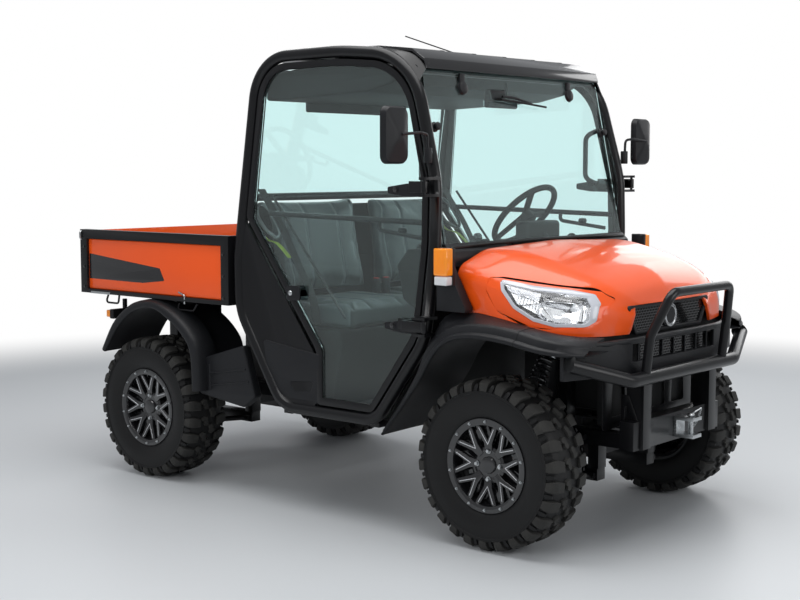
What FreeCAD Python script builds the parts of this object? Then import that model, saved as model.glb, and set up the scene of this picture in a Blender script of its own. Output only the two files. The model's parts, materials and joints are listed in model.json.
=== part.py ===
import FreeCAD, Part
import math
import os
import Sketcher

from FreeCAD import Placement, Rotation, Vector

# A two-seat utility vehicle with a tipping cargo bed.
# X runs forward from the middle of the wheelbase, Y to the left, Z up from the ground.

SIZES = {
    # stance
    "wheelbase": 2035,
    "track": 1297,
    "tyre_radius": 339,
    "tyre_width": 240,
    # fits
    "run_gap": 0.3,
    "seat_gap": 0.3,
    "edge_gap": 6,
    "overrun": 5,
    # wheel
    "bead_radius": 178,
    "bead_width": 193,
    "lip_radius": 188,
    "flange_wall": 6,
    "barrel_wall": 9,
    "hub_pad_radius": 75,
    "hub_pad_set": 20,
    "spindle_radius": 24,
    "spindle_reach": 52,
    "cap_radius": 38,
    "cap_reach": 77,
    "disc_reach": 66,
    "disc_wall": 22,
    "window_inner": 90,
    "window_outer": 152,
    # knuckle and arms
    "kingpin_y": 560,
    "knuckle_height": 170,
    "knuckle_wall": 14,
    "knuckle_length": 90,
    "hub_flange_radius": 60,
    "steer_arm_reach": 110,
    "boss_radius": 22,
    "boss_length": 34,
    "arm_radius": 13,
    "arm_spread": 150,
    "strut_set": 50,
    "strut_foot_y": 420,
    "strut_head_y": 380,
    "strut_coil_radius": 40,
    "strut_rod_radius": 12,
    "shaft_radius": 14,
    "joint_radius": 33,
    "joint_y": 545,
    "tie_rod_radius": 9,
    "rack_half": 230,
    # chassis
    "rail_spread": 540,
    "rail_side": 60,
    "rail_top": 440,
    "rail_rear": 1400,
    "rail_front": 1375,
    "cross_width": 50,
    "subframe_y": 200,
    "subframe_top": 265,
    "tower_top": 776,
    "tower_plate": 8,
    "bed_post_top": 869,
    "receiver_side": 64,
    "receiver_bore": 51,
    "receiver_reach": 80,
    "receiver_pin_radius": 8,
    "engine_top": 800,
    "engine_half": 220,
    "diff_length": 160,
    "diff_width": 220,
    "diff_height": 120,
    # cab
    "cab_rear": 402,
    "cab_length": 1130,
    "cab_floor": 445,
    "cab_height": 1535,
    "sill_half": 729.5,
    "hoop_radius": 25,
    "header_radius": 18,
    "quarter_wall": 14,
    "roof_wall": 14,
    "glass_wall": 6,
    "door_wall": 24,
    "door_glass_wall": 5,
    "hinge_x": 738,
    "hinge_y": 785,
    "hinge_pin_radius": 6,
    "hinge_barrel_radius": 12,
    "hinge_height": 44,
    "hinge_arm_length": 150,
    "hinge_low": 862,
    "hinge_high": 1416,
    # cab inside
    "floor_wall": 12,
    "floor_half": 680,
    "seat_base_half": 640,
    "cushion_height": 108,
    "back_height": 470,
    "cushion_inner": 45,
    "cushion_outer": 625,
    "dash_half": 655,
    "wheel_x": 420,
    "wheel_y": 350,
    "wheel_z": 1270,
    "wheel_ring_radius": 175,
    "wheel_grip_radius": 14,
    "column_radius": 22,
    # front
    "hood_rear": 812,
    "hood_nose": 1405,
    "hood_half": 668,
    "hood_foot": 845,
    "hood_crown": 1180,
    "hood_wall": 12,
    "hood_pivot_x": 775,
    "hood_pivot_z": 1150,
    "hood_hinge_y": 254,
    "hood_hinge_width": 36,
    "hood_barrel_radius": 11,
    "hood_pin_radius": 6,
    "lamp_inner": 345,
    "grille_foot": 836,
    "grille_head": 954,
    "grille_foot_half": 335,
    "grille_head_half": 274,
    "grille_x": 1378,
    "grille_wall": 26,
    "disc_radius": 50,
    "fender_inner": 676,
    "fender_outer": 790,
    "fender_skin": 18,
    "fascia_foot": 690,
    "fascia_head": 828,
    "fascia_front": 1425,
    "fascia_wall": 18,
    "signal_length": 70,
    "signal_height": 150,
    "signal_foot": 1030,
    "signal_depth": 55,
    # bumper
    "bumper_radius": 28,
    "bumper_x": 1466,
    "bumper_y": 421,
    "bumper_z": 677,
    "bumper_end_x": 1366,
    "bumper_end_y": 700,
    "bumper_end_z": 760,
    "guard_radius": 19,
    "guard_top_x": 1536,
    "guard_top_y": 240,
    "guard_top_z": 1010,
    "guard_knee_z": 842,
    "guard_foot_y": 315,
    "hitch_half": 350,
    "hitch_foot": 387,
    "hitch_head": 500,
    "clevis_length": 100,
    "clevis_height": 84,
    "clevis_width": 70,
    "clevis_wall": 14,
    "clevis_pin_radius": 11,
    # bed
    "bed_rear": 1520,
    "bed_front": 436,
    "bed_half": 745,
    "bed_foot": 869,
    "bed_head": 1185,
    "bed_floor_wall": 20,
    "bed_rail_height": 45,
    "bed_rail_width": 40,
    "bed_post_length": 50,
    "bed_skin": 8,
    "side_panel_wall": 10,
    "bed_pivot_x": 1340,
    "bed_pivot_z": 845,
    "gate_wall": 22,
    "gate_pivot_radius": 8,
    "latch_reach": 1555,
    "latch_radius": 5,
    "cylinder_foot_x": 930,
    "cylinder_foot_z": 470,
    "cylinder_eye_x": 900,
    "cylinder_eye_z": 840,
    "cylinder_radius": 28,
    "cylinder_rod_radius": 16,
    "cylinder_eye_radius": 18,
    "cylinder_eye_width": 30,
    # outside pieces
    "mirror_y": 924,
    "mirror_z": 1617,
    "mirror_x": 711,
    "mirror_width": 168,
    "mirror_height": 235,
    "mirror_depth": 56,
    "mirror_arm_radius": 8,
    "antenna_x": 149,
    "antenna_y": 281,
    "antenna_length": 420,
    "antenna_radius": 3,
}

doc = FreeCAD.newDocument("utility_vehicle")


class Size:
    """A length worked out from the sheet, with the words that bind it there."""

    def __init__(self, value, words):
        self.value = value
        self.words = words

    def __add__(self, other):
        other = sized(other)
        return Size(self.value + other.value, "(%s + %s)" % (self.words, other.words))

    def __radd__(self, other):
        return sized(other) + self

    def __sub__(self, other):
        other = sized(other)
        return Size(self.value - other.value, "(%s - %s)" % (self.words, other.words))

    def __rsub__(self, other):
        return sized(other) - self

    def __mul__(self, share):
        return Size(self.value * share, "(%s * %r)" % (self.words, share))

    __rmul__ = __mul__

    def __truediv__(self, share):
        return Size(self.value / share, "(%s / %r)" % (self.words, share))

    def __neg__(self):
        return Size(-self.value, "(-1 * %s)" % self.words)


def sized(size):
    return size if isinstance(size, Size) else Size(float(size), repr(size))


def fill_sheet():
    sheet = doc.addObject("Spreadsheet::Sheet", "Sizes")
    for row, (name, value) in enumerate(SIZES.items(), start=1):
        sheet.set("A%d" % row, name)
        sheet.set("B%d" % row, str(value))
        sheet.setAlias("B%d" % row, name)
    doc.recompute()
    return sheet


class Sheet:
    """Reads a named size from the sheet."""

    def __init__(self, sheet):
        self.sheet = sheet

    def __getattr__(self, name):
        return Size(float(self.sheet.get(name)), "Sizes." + name)


s = Sheet(fill_sheet())


# Helpers that make and bind the sheet's shapes

def bind(item, prop, size):
    size = sized(size)
    if size.words not in ("0", "0.0"):
        item.setExpression(prop, size.words)


def place(item, x=0, y=0, z=0, axis=None, angle=0):
    turn = Rotation(Vector(*axis), angle) if axis else Rotation()
    item.Placement = Placement(Vector(sized(x).value, sized(y).value, sized(z).value), turn)
    bind(item, "Placement.Base.x", x)
    bind(item, "Placement.Base.y", y)
    bind(item, "Placement.Base.z", z)
    return item


def box(name, low, high):
    """A block between two corners."""
    item = doc.addObject("Part::Box", name)
    for prop, near, far in zip(("Length", "Width", "Height"), low, high):
        bind(item, prop, sized(far) - near)
    return place(item, *low)


SIDEWAYS = ((1, 0, 0), -90)
FORWARD = ((0, 1, 0), 90)
UPWARD = ((0, 0, 1), 0)


def rod(name, radius, length, start, way=UPWARD):
    """A round bar from a start point, along +Z, or along +Y or +X."""
    item = doc.addObject("Part::Cylinder", name)
    bind(item, "Radius", radius)
    bind(item, "Height", length)
    return place(item, *start, axis=way[0], angle=way[1])


def fused(label, items):
    item = doc.addObject("Part::MultiFuse", label)
    item.Shapes = items
    return item


def cut(label, base, tool):
    item = doc.addObject("Part::Cut", label)
    item.Base = base
    item.Tool = tool
    return item


def shared(label, items):
    item = doc.addObject("Part::MultiCommon", label)
    item.Shapes = items
    return item


def grouped(label, items):
    item = doc.addObject("Part::Compound", label)
    item.Links = items
    return item


def mirrored(label, source):
    """The same piece on the vehicle's other side."""
    item = doc.addObject("Part::Mirroring", label)
    item.Source = source
    item.Normal = Vector(0, 1, 0)
    return item


def both_sides(label, left):
    return grouped(label, [left, mirrored(label + "_other", left)])


def draw(sketch, points):
    """Adds a closed outline: each point is (across, up) or (across, up, corner radius)."""
    first = sketch.GeometryCount
    count = len(points)
    spots = [Vector(sized(p[0]).value, sized(p[1]).value, 0) for p in points]
    lines = [Part.LineSegment(spots[i], spots[(i + 1) % count]) for i in range(count)]
    sketch.addGeometry(lines, False)
    ties = [Sketcher.Constraint("Coincident", first + i, 2, first + (i + 1) % count, 1)
            for i in range(count)]
    sketch.addConstraint(ties)
    for i, point in enumerate(points):
        for kind, size in (("DistanceX", point[0]), ("DistanceY", point[1])):
            size = sized(size)
            number = sketch.addConstraint(Sketcher.Constraint(kind, -1, 1, first + i, 1, size.value))
            bind(sketch, "Constraints[%d]" % number, size)
    for i, point in enumerate(points):
        if len(point) == 3:
            round_corner(sketch, first + i, sized(point[2]))


def round_corner(sketch, line, radius):
    before = sketch.GeometryCount
    sketch.fillet(line, 1, radius.value, True, True)
    arcs = [i for i in range(before, sketch.GeometryCount)
            if isinstance(sketch.Geometry[i], Part.ArcOfCircle)]
    number = sketch.addConstraint(Sketcher.Constraint("Radius", arcs[0], radius.value))
    bind(sketch, "Constraints[%d]" % number, radius)


def attached_sketch(body, plane, outlines):
    host = [feature for feature in body.Origin.OriginFeatures if feature.Role == plane][0]
    sketch = body.newObject("Sketcher::SketchObject", body.Name + "_outline")
    sketch.AttachmentSupport = (host, [""])
    sketch.MapMode = "FlatFace"
    for points in outlines:
        draw(sketch, points)
    return sketch


def plate(label, plane, outlines, thickness):
    """A body padded equally to both sides of one of its planes; further outlines are holes."""
    body = doc.addObject("PartDesign::Body", label)
    sketch = attached_sketch(body, plane, outlines)
    pad = body.newObject("PartDesign::Pad", label + "_pad")
    pad.Profile = sketch
    pad.Midplane = True
    bind(pad, "Length", thickness)
    return body


def turned(label, points):
    """A body turned about its Y axis; points are (radius, place along Y)."""
    body = doc.addObject("PartDesign::Body", label)
    sketch = attached_sketch(body, "XY_Plane", [points])
    revolution = body.newObject("PartDesign::Revolution", label + "_turn")
    revolution.Profile = sketch
    revolution.ReferenceAxis = (sketch, ["V_Axis"])
    revolution.Angle = 360
    return body


def rounded_path(points, bend):
    """A wire of straight runs joined by tangent arcs of one bend radius."""
    spots = [Vector(*[sized(value).value for value in point]) for point in points]
    edges = []
    last = spots[0]
    for before, corner, after in zip(spots, spots[1:], spots[2:]):
        back = (before - corner).normalize()
        ahead = (after - corner).normalize()
        half_turn = (math.pi - back.getAngle(ahead)) / 2
        reach = bend.value * math.tan(half_turn)
        middle = (back + ahead).normalize()
        rise = bend.value / math.cos(half_turn) - bend.value
        start, end = corner + back * reach, corner + ahead * reach
        edges.append(Part.LineSegment(last, start).toShape())
        edges.append(Part.Arc(start, corner + middle * rise, end).toShape())
        last = end
    edges.append(Part.LineSegment(last, spots[-1]).toShape())
    return Part.Wire(edges)


def bent_tube(label, points, radius, bend):
    """A round tube along a path bent in space."""
    path = rounded_path(points, bend)
    start = path.Edges[0]
    ring = Part.Circle(start.Vertexes[0].Point, start.tangentAt(start.FirstParameter), radius.value)
    item = doc.addObject("Part::Feature", label)
    item.Shape = path.makePipeShell([Part.Wire([ring.toShape()])], True, False)
    return item


# Places that many pieces share

front_x = s.wheelbase / 2
rear_x = -s.wheelbase / 2
wheel_y = s.track / 2
rail_y = s.rail_spread / 2
rail_bottom = s.rail_top - s.rail_side
rail_outer = rail_y + s.rail_side / 2
rail_inner = rail_y - s.rail_side / 2
SIDES = ((1, "left"), (-1, "right"))
cab_top = s.cab_floor + s.cab_height
LEAN = 2.0
LEAN_SLOPE = math.tan(math.radians(LEAN))


def cab_point(across_share, up_share, corner_share=None):
    """A place in the cab's side, as shares of its length and height."""
    point = [s.cab_length * across_share - s.cab_rear, s.cab_floor + s.cab_height * up_share]
    if corner_share:
        point.append(s.cab_height * corner_share)
    return tuple(point)


def side_point(across_share, up_share, corner_share=None):
    """The same place in a leaning side's own frame, which starts at the cab's floor."""
    point = cab_point(across_share, up_share, corner_share)
    return (point[0], point[1] - s.cab_floor) + point[2:]


def lean(item, y_offset=0):
    """Stands a left side piece on the sill, leaning inwards."""
    return place(item, 0, s.sill_half + y_offset, s.cab_floor, axis=(1, 0, 0), angle=LEAN)


def side_y(height):
    """How far out the leaning side's middle stands at a height."""
    return s.sill_half - (height - s.cab_floor) * LEAN_SLOPE


# Wheels

LUG_COUNT = 24
TIP_SHARE = 0.25
LUG_SHARES = ((-0.31, 0.95), (-TIP_SHARE, 1.0), (TIP_SHARE, 1.0), (0.31, 0.95))
CASING_SIDES = 28
CASING_SHARE = 0.925


def lug_row(label):
    """One row of shoulder lugs: a toothed disc whose flat lugs stand at the tyre's radius."""
    pitch = 2 * math.pi / LUG_COUNT
    tip = s.tyre_radius * (1 / math.cos(pitch * TIP_SHARE))
    points = []
    for number in range(LUG_COUNT):
        for turn_share, radius_share in LUG_SHARES:
            angle = pitch * (number + turn_share)
            points.append((tip * (radius_share * math.sin(angle)), tip * (-radius_share * math.cos(angle))))
    return plate(label, "XZ_Plane", [points], s.tyre_width * 0.38)


def many_sided(label, radius, width, y=0):
    """A disc with flat sides about the axle, which keeps a tyre's mesh light."""
    turn = 2 * math.pi / CASING_SIDES
    points = [(radius * math.sin(turn * number), radius * math.cos(turn * number))
              for number in range(CASING_SIDES)]
    return place(plate(label, "XZ_Plane", [points], width), 0, y, 0)


def tyre_form():
    """The casing as a many-sided disc, bored for its rim, with two staggered rows of lugs."""
    bead = s.bead_width / 2 - s.seat_gap
    slack = 1 / math.cos(math.pi / CASING_SIDES)
    casing = many_sided("casing", s.tyre_radius * CASING_SHARE, s.tyre_width)
    row = lug_row("lug_row")
    near = place(grouped("near_lugs", [row]), 0, s.tyre_width * -0.2, 0)
    far = place(grouped("far_lugs", [row]), 0, s.tyre_width * 0.2, 0, axis=(0, 1, 0), angle=180 / LUG_COUNT)
    hollows = [many_sided("bore", (s.bead_radius + s.seat_gap) * slack, s.tyre_width * 2)]
    for side, tag in SIDES:
        hollows.append(many_sided("mouth_" + tag, (s.lip_radius + s.flange_wall / 2) * slack,
                                  s.tyre_width - bead * 2, s.tyre_width / 2 * side))
    return cut("tyre_form", fused("tyre_rubber", [casing, near, far]), fused("tyre_hollow", hollows))


def rim(label, x, y, side):
    """A dished rim with its hub pad inboard and eight windows in its disc."""
    bead = s.bead_width / 2
    flange = bead + s.flange_wall
    bore = s.spindle_radius + s.run_gap
    barrel = s.bead_radius - s.barrel_wall
    bore_end = s.spindle_reach - s.hub_pad_set + s.overrun
    profile = [
        (0, bore_end), (bore, bore_end), (bore, -s.hub_pad_set),
        (s.hub_pad_radius, -s.hub_pad_set), (s.hub_pad_radius, s.disc_reach - s.disc_wall),
        (barrel, s.disc_reach - s.disc_wall / 2), (barrel, -flange), (s.lip_radius, -flange),
        (s.lip_radius, -bead), (s.bead_radius, -bead), (s.bead_radius, bead),
        (s.lip_radius, bead), (s.lip_radius, flange), (barrel + s.barrel_wall / 3, flange),
        (barrel - s.barrel_wall / 2, s.disc_reach + s.disc_wall / 2),
        (s.hub_pad_radius, s.disc_reach), (s.cap_radius, s.disc_reach + s.disc_wall / 5),
        (s.cap_radius, s.cap_reach), (0, s.cap_reach),
    ]
    body = turned(label, [(radius, sized(spot) * side) for radius, spot in profile])
    outer, inner = s.window_outer, s.window_inner
    window = [(outer * 0.24, outer * 0.96), (-1 * outer * 0.24, outer * 0.96),
              (-1 * inner * 0.12, inner), (inner * 0.12, inner)]
    sketch = attached_sketch(body, "XZ_Plane", [window])
    pocket = body.newObject("PartDesign::Pocket", label + "_window")
    pocket.Profile = sketch
    pocket.Midplane = True
    bind(pocket, "Length", s.tyre_width)
    pattern = body.newObject("PartDesign::PolarPattern", label + "_windows")
    pattern.Originals = [pocket]
    axis = [feature for feature in body.Origin.OriginFeatures if feature.Role == "Y_Axis"][0]
    pattern.Axis = (axis, [""])
    pattern.Angle = 360
    pattern.Occurrences = 8
    body.Tip = pattern
    return place(body, x, y, s.tyre_radius)


# Knuckles, axles and suspension

def carrier(label, x, steered):
    """The left upright that carries a wheel: plate, two ears, hub flange and spindle."""
    half = s.knuckle_length / 2
    plate_in = s.kingpin_y + s.knuckle_length / 3
    plate_out = plate_in + s.knuckle_wall
    low = s.tyre_radius - s.knuckle_height / 2
    high = s.tyre_radius + s.knuckle_height / 2
    ear_in = s.kingpin_y - s.boss_radius
    flange_out = wheel_y - s.hub_pad_set - s.run_gap
    items = [
        box(label + "_plate", (x - half, plate_in, low), (x + half, plate_out, high)),
        box(label + "_low_ear", (x - half / 2, ear_in, low), (x + half / 2, plate_out, low + s.knuckle_wall)),
        box(label + "_high_ear", (x - half / 2, ear_in, high - s.knuckle_wall),
            (x + half / 2, plate_out, high)),
        rod(label + "_flange", s.hub_flange_radius, flange_out - plate_in,
            (x, plate_in, s.tyre_radius), SIDEWAYS),
        rod(label + "_spindle", s.spindle_radius, s.spindle_reach + flange_out - plate_in,
            (x, plate_in, s.tyre_radius), SIDEWAYS),
    ]
    if steered:
        arm_low = s.tyre_radius - s.knuckle_wall * 3
        items.append(box(label + "_steer_arm",
                         (x - s.steer_arm_reach - s.boss_radius / 2, s.kingpin_y, arm_low),
                         (x - s.joint_radius - s.overrun, plate_out, arm_low + s.knuckle_wall)))
    return fused(label, items)


def axle_parts(name, x):
    """A final drive hung between two cross members, with its half shafts."""
    drop = s.diff_height / 2
    strip_in = s.diff_width * 0.3
    strip_out = s.diff_width * 0.45
    span = s.wheelbase * 0.08
    items = [box(name + "_case", (x - s.diff_length / 2, -s.diff_width / 2, s.tyre_radius - drop),
                 (x + s.diff_length / 2, s.diff_width / 2, s.tyre_radius + drop))]
    for side, tag in SIDES:
        low_y, high_y = sorted((strip_in * side, strip_out * side), key=lambda size: size.value)
        items.append(box(name + "_strip_" + tag, (x - span, low_y, s.rail_top),
                         (x + span, high_y, s.rail_top + s.tower_plate)))
        items.append(box(name + "_neck_" + tag, (x - s.cross_width / 2, low_y, s.tyre_radius),
                         (x + s.cross_width / 2, high_y, s.rail_top + s.tower_plate)))
    items.append(rod(name + "_shaft", s.shaft_radius, s.joint_y * 2, (x, -s.joint_y, s.tyre_radius),
                     SIDEWAYS))
    for side, tag in SIDES:
        ball = doc.addObject("Part::Sphere", name + "_joint_" + tag)
        bind(ball, "Radius", s.joint_radius)
        items.append(place(ball, x, s.joint_y * side, s.tyre_radius))
    return items


def suspension(label, x, way):
    """Upper and lower arms and a strut for each side; way is 1 where the strut stands ahead."""
    low = s.tyre_radius - s.knuckle_height / 2 - s.run_gap
    high = s.tyre_radius + s.knuckle_height / 2 + s.run_gap
    tube = s.arm_radius
    low_z = low - s.boss_length / 2
    high_z = high + s.boss_length / 2
    low_in = s.subframe_y + s.rail_side / 2 + s.seat_gap + tube
    high_in = rail_outer + s.seat_gap + tube
    items = [
        rod(label + "_low_boss", s.boss_radius, s.boss_length, (x, s.kingpin_y, low - s.boss_length)),
        rod(label + "_high_boss", s.boss_radius, s.boss_length, (x, s.kingpin_y, high)),
    ]
    bend = s.boss_radius * 2
    for tag, inner, inner_z, outer_z in (("low", low_in, low_z, low_z),
                                         ("high", high_in, s.rail_top - s.rail_side / 2, high_z)):
        path = [(x - s.arm_spread - tube * 2, inner, inner_z), (x - s.arm_spread, inner, inner_z),
                (x, s.kingpin_y, outer_z)]
        other = [(x + s.arm_spread + tube * 2, inner, inner_z), (x + s.arm_spread, inner, inner_z),
                 (x, s.kingpin_y, outer_z)]
        items.append(bent_tube(label + "_" + tag + "_rear_leg", path, tube, bend))
        items.append(bent_tube(label + "_" + tag + "_front_leg", other, tube, bend))
    strut_x = x + s.strut_set * way
    foot = (strut_x, s.strut_foot_y, low_z)
    head = (strut_x, s.strut_head_y, s.tower_top - s.tower_plate - s.seat_gap)
    items += strut(label, foot, head)
    tie_low = box(label + "_strut_seat",
                  (strut_x - s.boss_radius, s.strut_foot_y - s.boss_radius, low_z - tube),
                  (strut_x + s.boss_radius, s.strut_foot_y + s.boss_radius, low_z + tube))
    items.append(tie_low)
    return both_sides(label, fused(label + "_left", items))


def strut(label, foot, head):
    """A spring strut from its foot to its head: rod, spring cover and head pad."""
    start = Vector(*[sized(value).value for value in foot])
    end = Vector(head[0].value, head[1].value, (head[2] - s.tower_plate).value)
    along = end - start
    way = Vector(along).normalize()
    items = []
    for tag, radius, low_share, high_share in (("rod", s.strut_rod_radius, 0.0, 1.0),
                                               ("spring", s.strut_coil_radius, 0.3, 0.93)):
        item = doc.addObject("Part::Feature", "%s_strut_%s" % (label, tag))
        base = start + along * low_share
        item.Shape = Part.makeCylinder(radius.value, along.Length * (high_share - low_share), base, way)
        items.append(item)
    pad = rod(label + "_strut_head", s.strut_rod_radius * 2, s.tower_plate * 2,
              (head[0], head[1], head[2] - s.tower_plate * 2))
    items.append(pad)
    return items


def tie_rods(label):
    """The steering rack with its two tie rods, which slide together."""
    arm_top = s.tyre_radius - s.knuckle_wall * 2 + s.seat_gap
    z = arm_top + s.tie_rod_radius
    x = front_x - s.steer_arm_reach
    reach = s.kingpin_y + s.knuckle_wall
    items = [rod(label + "_bar", s.tie_rod_radius, reach * 2, (x, -reach, z), SIDEWAYS)]
    for side, tag in SIDES:
        items.append(rod(label + "_eye_" + tag, s.tie_rod_radius * 1.3, s.tie_rod_radius * 1.8,
                         (x, reach * side, z - s.tie_rod_radius * 0.9)))
    return fused(label, items)


# Chassis

CROSS_SHARES = (-0.67, -0.58, -0.42, -0.22, -0.05, 0.2, 0.42, 0.58)
EAR_CROSS_SHARE = -0.42
OUTRIGGER_SHARES = (-0.05, 0.2)


def chassis_frame(label):
    """Rails, cross members, outriggers, subframes, towers and bed posts, each bar welded to the next."""
    items = []
    for side, tag in SIDES:
        low_y, high_y = span(rail_inner, rail_outer, side)
        items.append(box("rail_" + tag, (-s.rail_rear, low_y, rail_bottom),
                         (s.rail_front, high_y, s.rail_top)))
    items += cross_members()
    for name, centre in (("front", front_x), ("rear", rear_x)):
        items += subframe(name, centre)
    items += towers("front", front_x + s.strut_set, s.tower_top)
    items += towers("rear", rear_x - s.strut_set, s.bed_post_top - s.seat_gap)
    items += bed_posts()
    items.append(receiver())
    return grouped(label, items)


def cross_members():
    items = []
    half = s.cross_width / 2
    reach = rail_inner - s.seat_gap
    for number, share in enumerate(CROSS_SHARES):
        x = s.wheelbase * share
        bar = box("cross_%d" % number, (x - half, -reach, rail_bottom), (x + half, reach, s.rail_top))
        items.append(fused("ear_cross", [bar] + cylinder_ears()) if share == EAR_CROSS_SHARE else bar)
    sill_in = s.sill_half - s.hoop_radius - s.seat_gap
    for number, share in enumerate(OUTRIGGER_SHARES):
        x = s.wheelbase * share
        for side, tag in SIDES:
            low_y, high_y = span(rail_outer + s.seat_gap, sill_in, side)
            items.append(box("outrigger_%s_%d" % (tag, number),
                             (x - half, low_y, s.rail_top - s.rail_side / 2),
                             (x + half, high_y, s.rail_top)))
    return items


def span(near, far, side):
    """The lower and upper of a pair of sideways places, on one side."""
    return (near, far) if side > 0 else (-far, -near)


def subframe(name, centre):
    items = []
    reach = s.wheelbase * 0.09
    low = s.subframe_top - s.cross_width
    for side, tag in SIDES:
        low_y, high_y = span(s.subframe_y - s.rail_side / 2, s.subframe_y + s.rail_side / 2, side)
        items.append(box("lower_%s_%s" % (name, tag), (centre - reach, low_y, low),
                         (centre + reach, high_y, s.subframe_top)))
        for end in (-1, 1):
            x = centre + s.wheelbase * 0.08 * end
            items.append(box("hanger_%s_%s_%d" % (name, tag, end),
                             (x - s.cross_width / 2, low_y, s.subframe_top + s.seat_gap),
                             (x + s.cross_width / 2, high_y, rail_bottom - s.seat_gap)))
    return items


def towers(name, x, top):
    items = []
    half = s.rail_side / 2
    shelf = s.tower_top - s.tower_plate
    for side, tag in SIDES:
        low_y, high_y = span(rail_inner, rail_outer, side)
        items.append(box("tower_%s_%s" % (name, tag), (x - half, low_y, s.rail_top + s.seat_gap),
                         (x + half, high_y, top)))
        low_y, high_y = span(rail_outer + s.seat_gap, s.strut_head_y + s.cross_width, side)
        items.append(box("shelf_%s_%s" % (name, tag), (x - half, low_y, shelf),
                         (x + half, high_y, s.tower_top)))
    return items


def bed_posts():
    """Posts under the bed's pivot with their pins, and rests under its front."""
    items = []
    half = s.rail_side / 2
    pivot = s.cylinder_rod_radius
    low = s.rail_top + s.seat_gap
    for side, tag in SIDES:
        low_y, high_y = span(rail_inner, rail_outer, side)
        x = -s.bed_pivot_x
        post = box("pivot_post_" + tag, (x - half, low_y, low), (x + half, high_y, s.bed_pivot_z - pivot))
        pin = rod("pivot_pin_" + tag, s.gate_pivot_radius, high_y - low_y + s.rail_side,
                  (x, low_y - half, s.bed_pivot_z), SIDEWAYS)
        ear = box("pivot_ear_" + tag, (x - pivot, low_y, low), (x + pivot, high_y, s.bed_pivot_z + pivot / 2))
        items.append(fused("bed_pivot_" + tag, [post, pin, ear]))
        x = -s.bed_front - s.wheelbase * 0.05
        items.append(box("rest_post_" + tag, (x - half, low_y, low),
                         (x + half, high_y, s.bed_foot - s.seat_gap)))
    return items


def cylinder_ears():
    """The two ears and the pin that hold the tipping cylinder's foot."""
    items = []
    ear_x = -s.cylinder_foot_x
    low = s.tyre_radius + s.diff_height / 2 + s.edge_gap
    high = s.cylinder_foot_z + s.cylinder_eye_radius * 0.65
    for side, tag in SIDES:
        low_y, high_y = span(s.cylinder_eye_width * 0.75, s.cylinder_eye_width, side)
        items.append(box("cylinder_ear_" + tag, (ear_x - s.cylinder_eye_radius, low_y, low),
                         (s.wheelbase * EAR_CROSS_SHARE, high_y, high)))
    items.append(rod("cylinder_pin", s.gate_pivot_radius, s.cylinder_eye_width * 2,
                     (ear_x, -s.cylinder_eye_width, s.cylinder_foot_z), SIDEWAYS))
    return items


def receiver():
    """The hitch receiver tube on its own cross member between the rails' rear ends."""
    half = s.receiver_side / 2
    z = s.rail_top - s.rail_side / 2
    reach = rail_inner - s.seat_gap
    bar = box("receiver_cross", (-s.rail_rear, -reach, rail_bottom),
              (-s.rail_rear + s.cross_width, reach, s.rail_top))
    tube = box("receiver_tube", (-s.rail_rear - s.receiver_reach, -half, z - half),
               (-s.rail_rear + s.cross_width, half, z + half))
    return cut("receiver", fused("receiver_steel", [bar, tube]), receiver_hollow())


def receiver_hollow():
    half = s.receiver_bore / 2
    z = s.rail_top - s.rail_side / 2
    start = -s.rail_rear - s.receiver_reach
    hollow = box("receiver_hollow", (start - s.overrun, -half, z - half),
                 (-s.rail_rear + s.cross_width * 0.9, half, z + half))
    pin = rod("receiver_pin_hole", s.receiver_pin_radius, s.receiver_side + s.overrun * 2,
              (start + s.receiver_reach / 2, -s.receiver_side / 2 - s.overrun, z), SIDEWAYS)
    return fused("receiver_cuts", [hollow, pin])


def engine_block(label):
    rear = s.wheelbase * CROSS_SHARES[2] + s.overrun
    return box(label, (rear, -s.engine_half, s.rail_top),
               (s.wheelbase * CROSS_SHARES[3] + s.cross_width / 2, s.engine_half, s.engine_top))


# Cab

HOOP_SHARES = (
    (0.745, 0.0, 0.078), (0.258, 0.0, 0.104), (0.015, 0.264, 0.163), (0.0, 0.42, 0.326),
    (0.093, 0.997, 0.13), (0.533, 1.0, 0.98), (0.878, 0.977, 0.195), (0.998, 0.648, 0.293),
    (1.0, 0.478, 0.456), (0.966, 0.231, 0.163),
)
DOOR_SHARES = (
    (0.731, 0.021, 0.03), (0.258 + 0.194, 0.021, 0.012), (0.446, 0.169, 0.06), (0.048, 0.539, 0.02),
    (0.118, 0.976, 0.11), (0.533, 0.979, 0.9), (0.857, 0.958, 0.175), (0.971, 0.646, 0.28),
    (0.972, 0.478, 0.4), (0.94, 0.239, 0.12),
)
WINDOW_SHARES = (
    (0.72, 0.042, 0.015), (0.478, 0.042), (0.472, 0.177, 0.05), (0.085, 0.535),
    (0.143, 0.957, 0.09), (0.533, 0.961, 0.88), (0.84, 0.939, 0.155), (0.944, 0.638),
    (0.946, 0.478, 0.35), (0.914, 0.245, 0.1),
)
QUARTER_SHARES = (
    (0.437, 0.012), (0.27, 0.012, 0.09), (0.037, 0.267, 0.14), (0.018, 0.42, 0.3), (0.035, 0.53),
    (0.434, 0.158),
)


front_header = cab_point(0.876, 0.94)
rear_header = cab_point(0.105, 0.955)
waist_tube = cab_point(0.026, 0.595)
roof_top = cab_point(0.5, 1.012)
roof_tube = (roof_top[0], roof_top[1] - s.roof_wall - s.header_radius - s.seat_gap)


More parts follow.
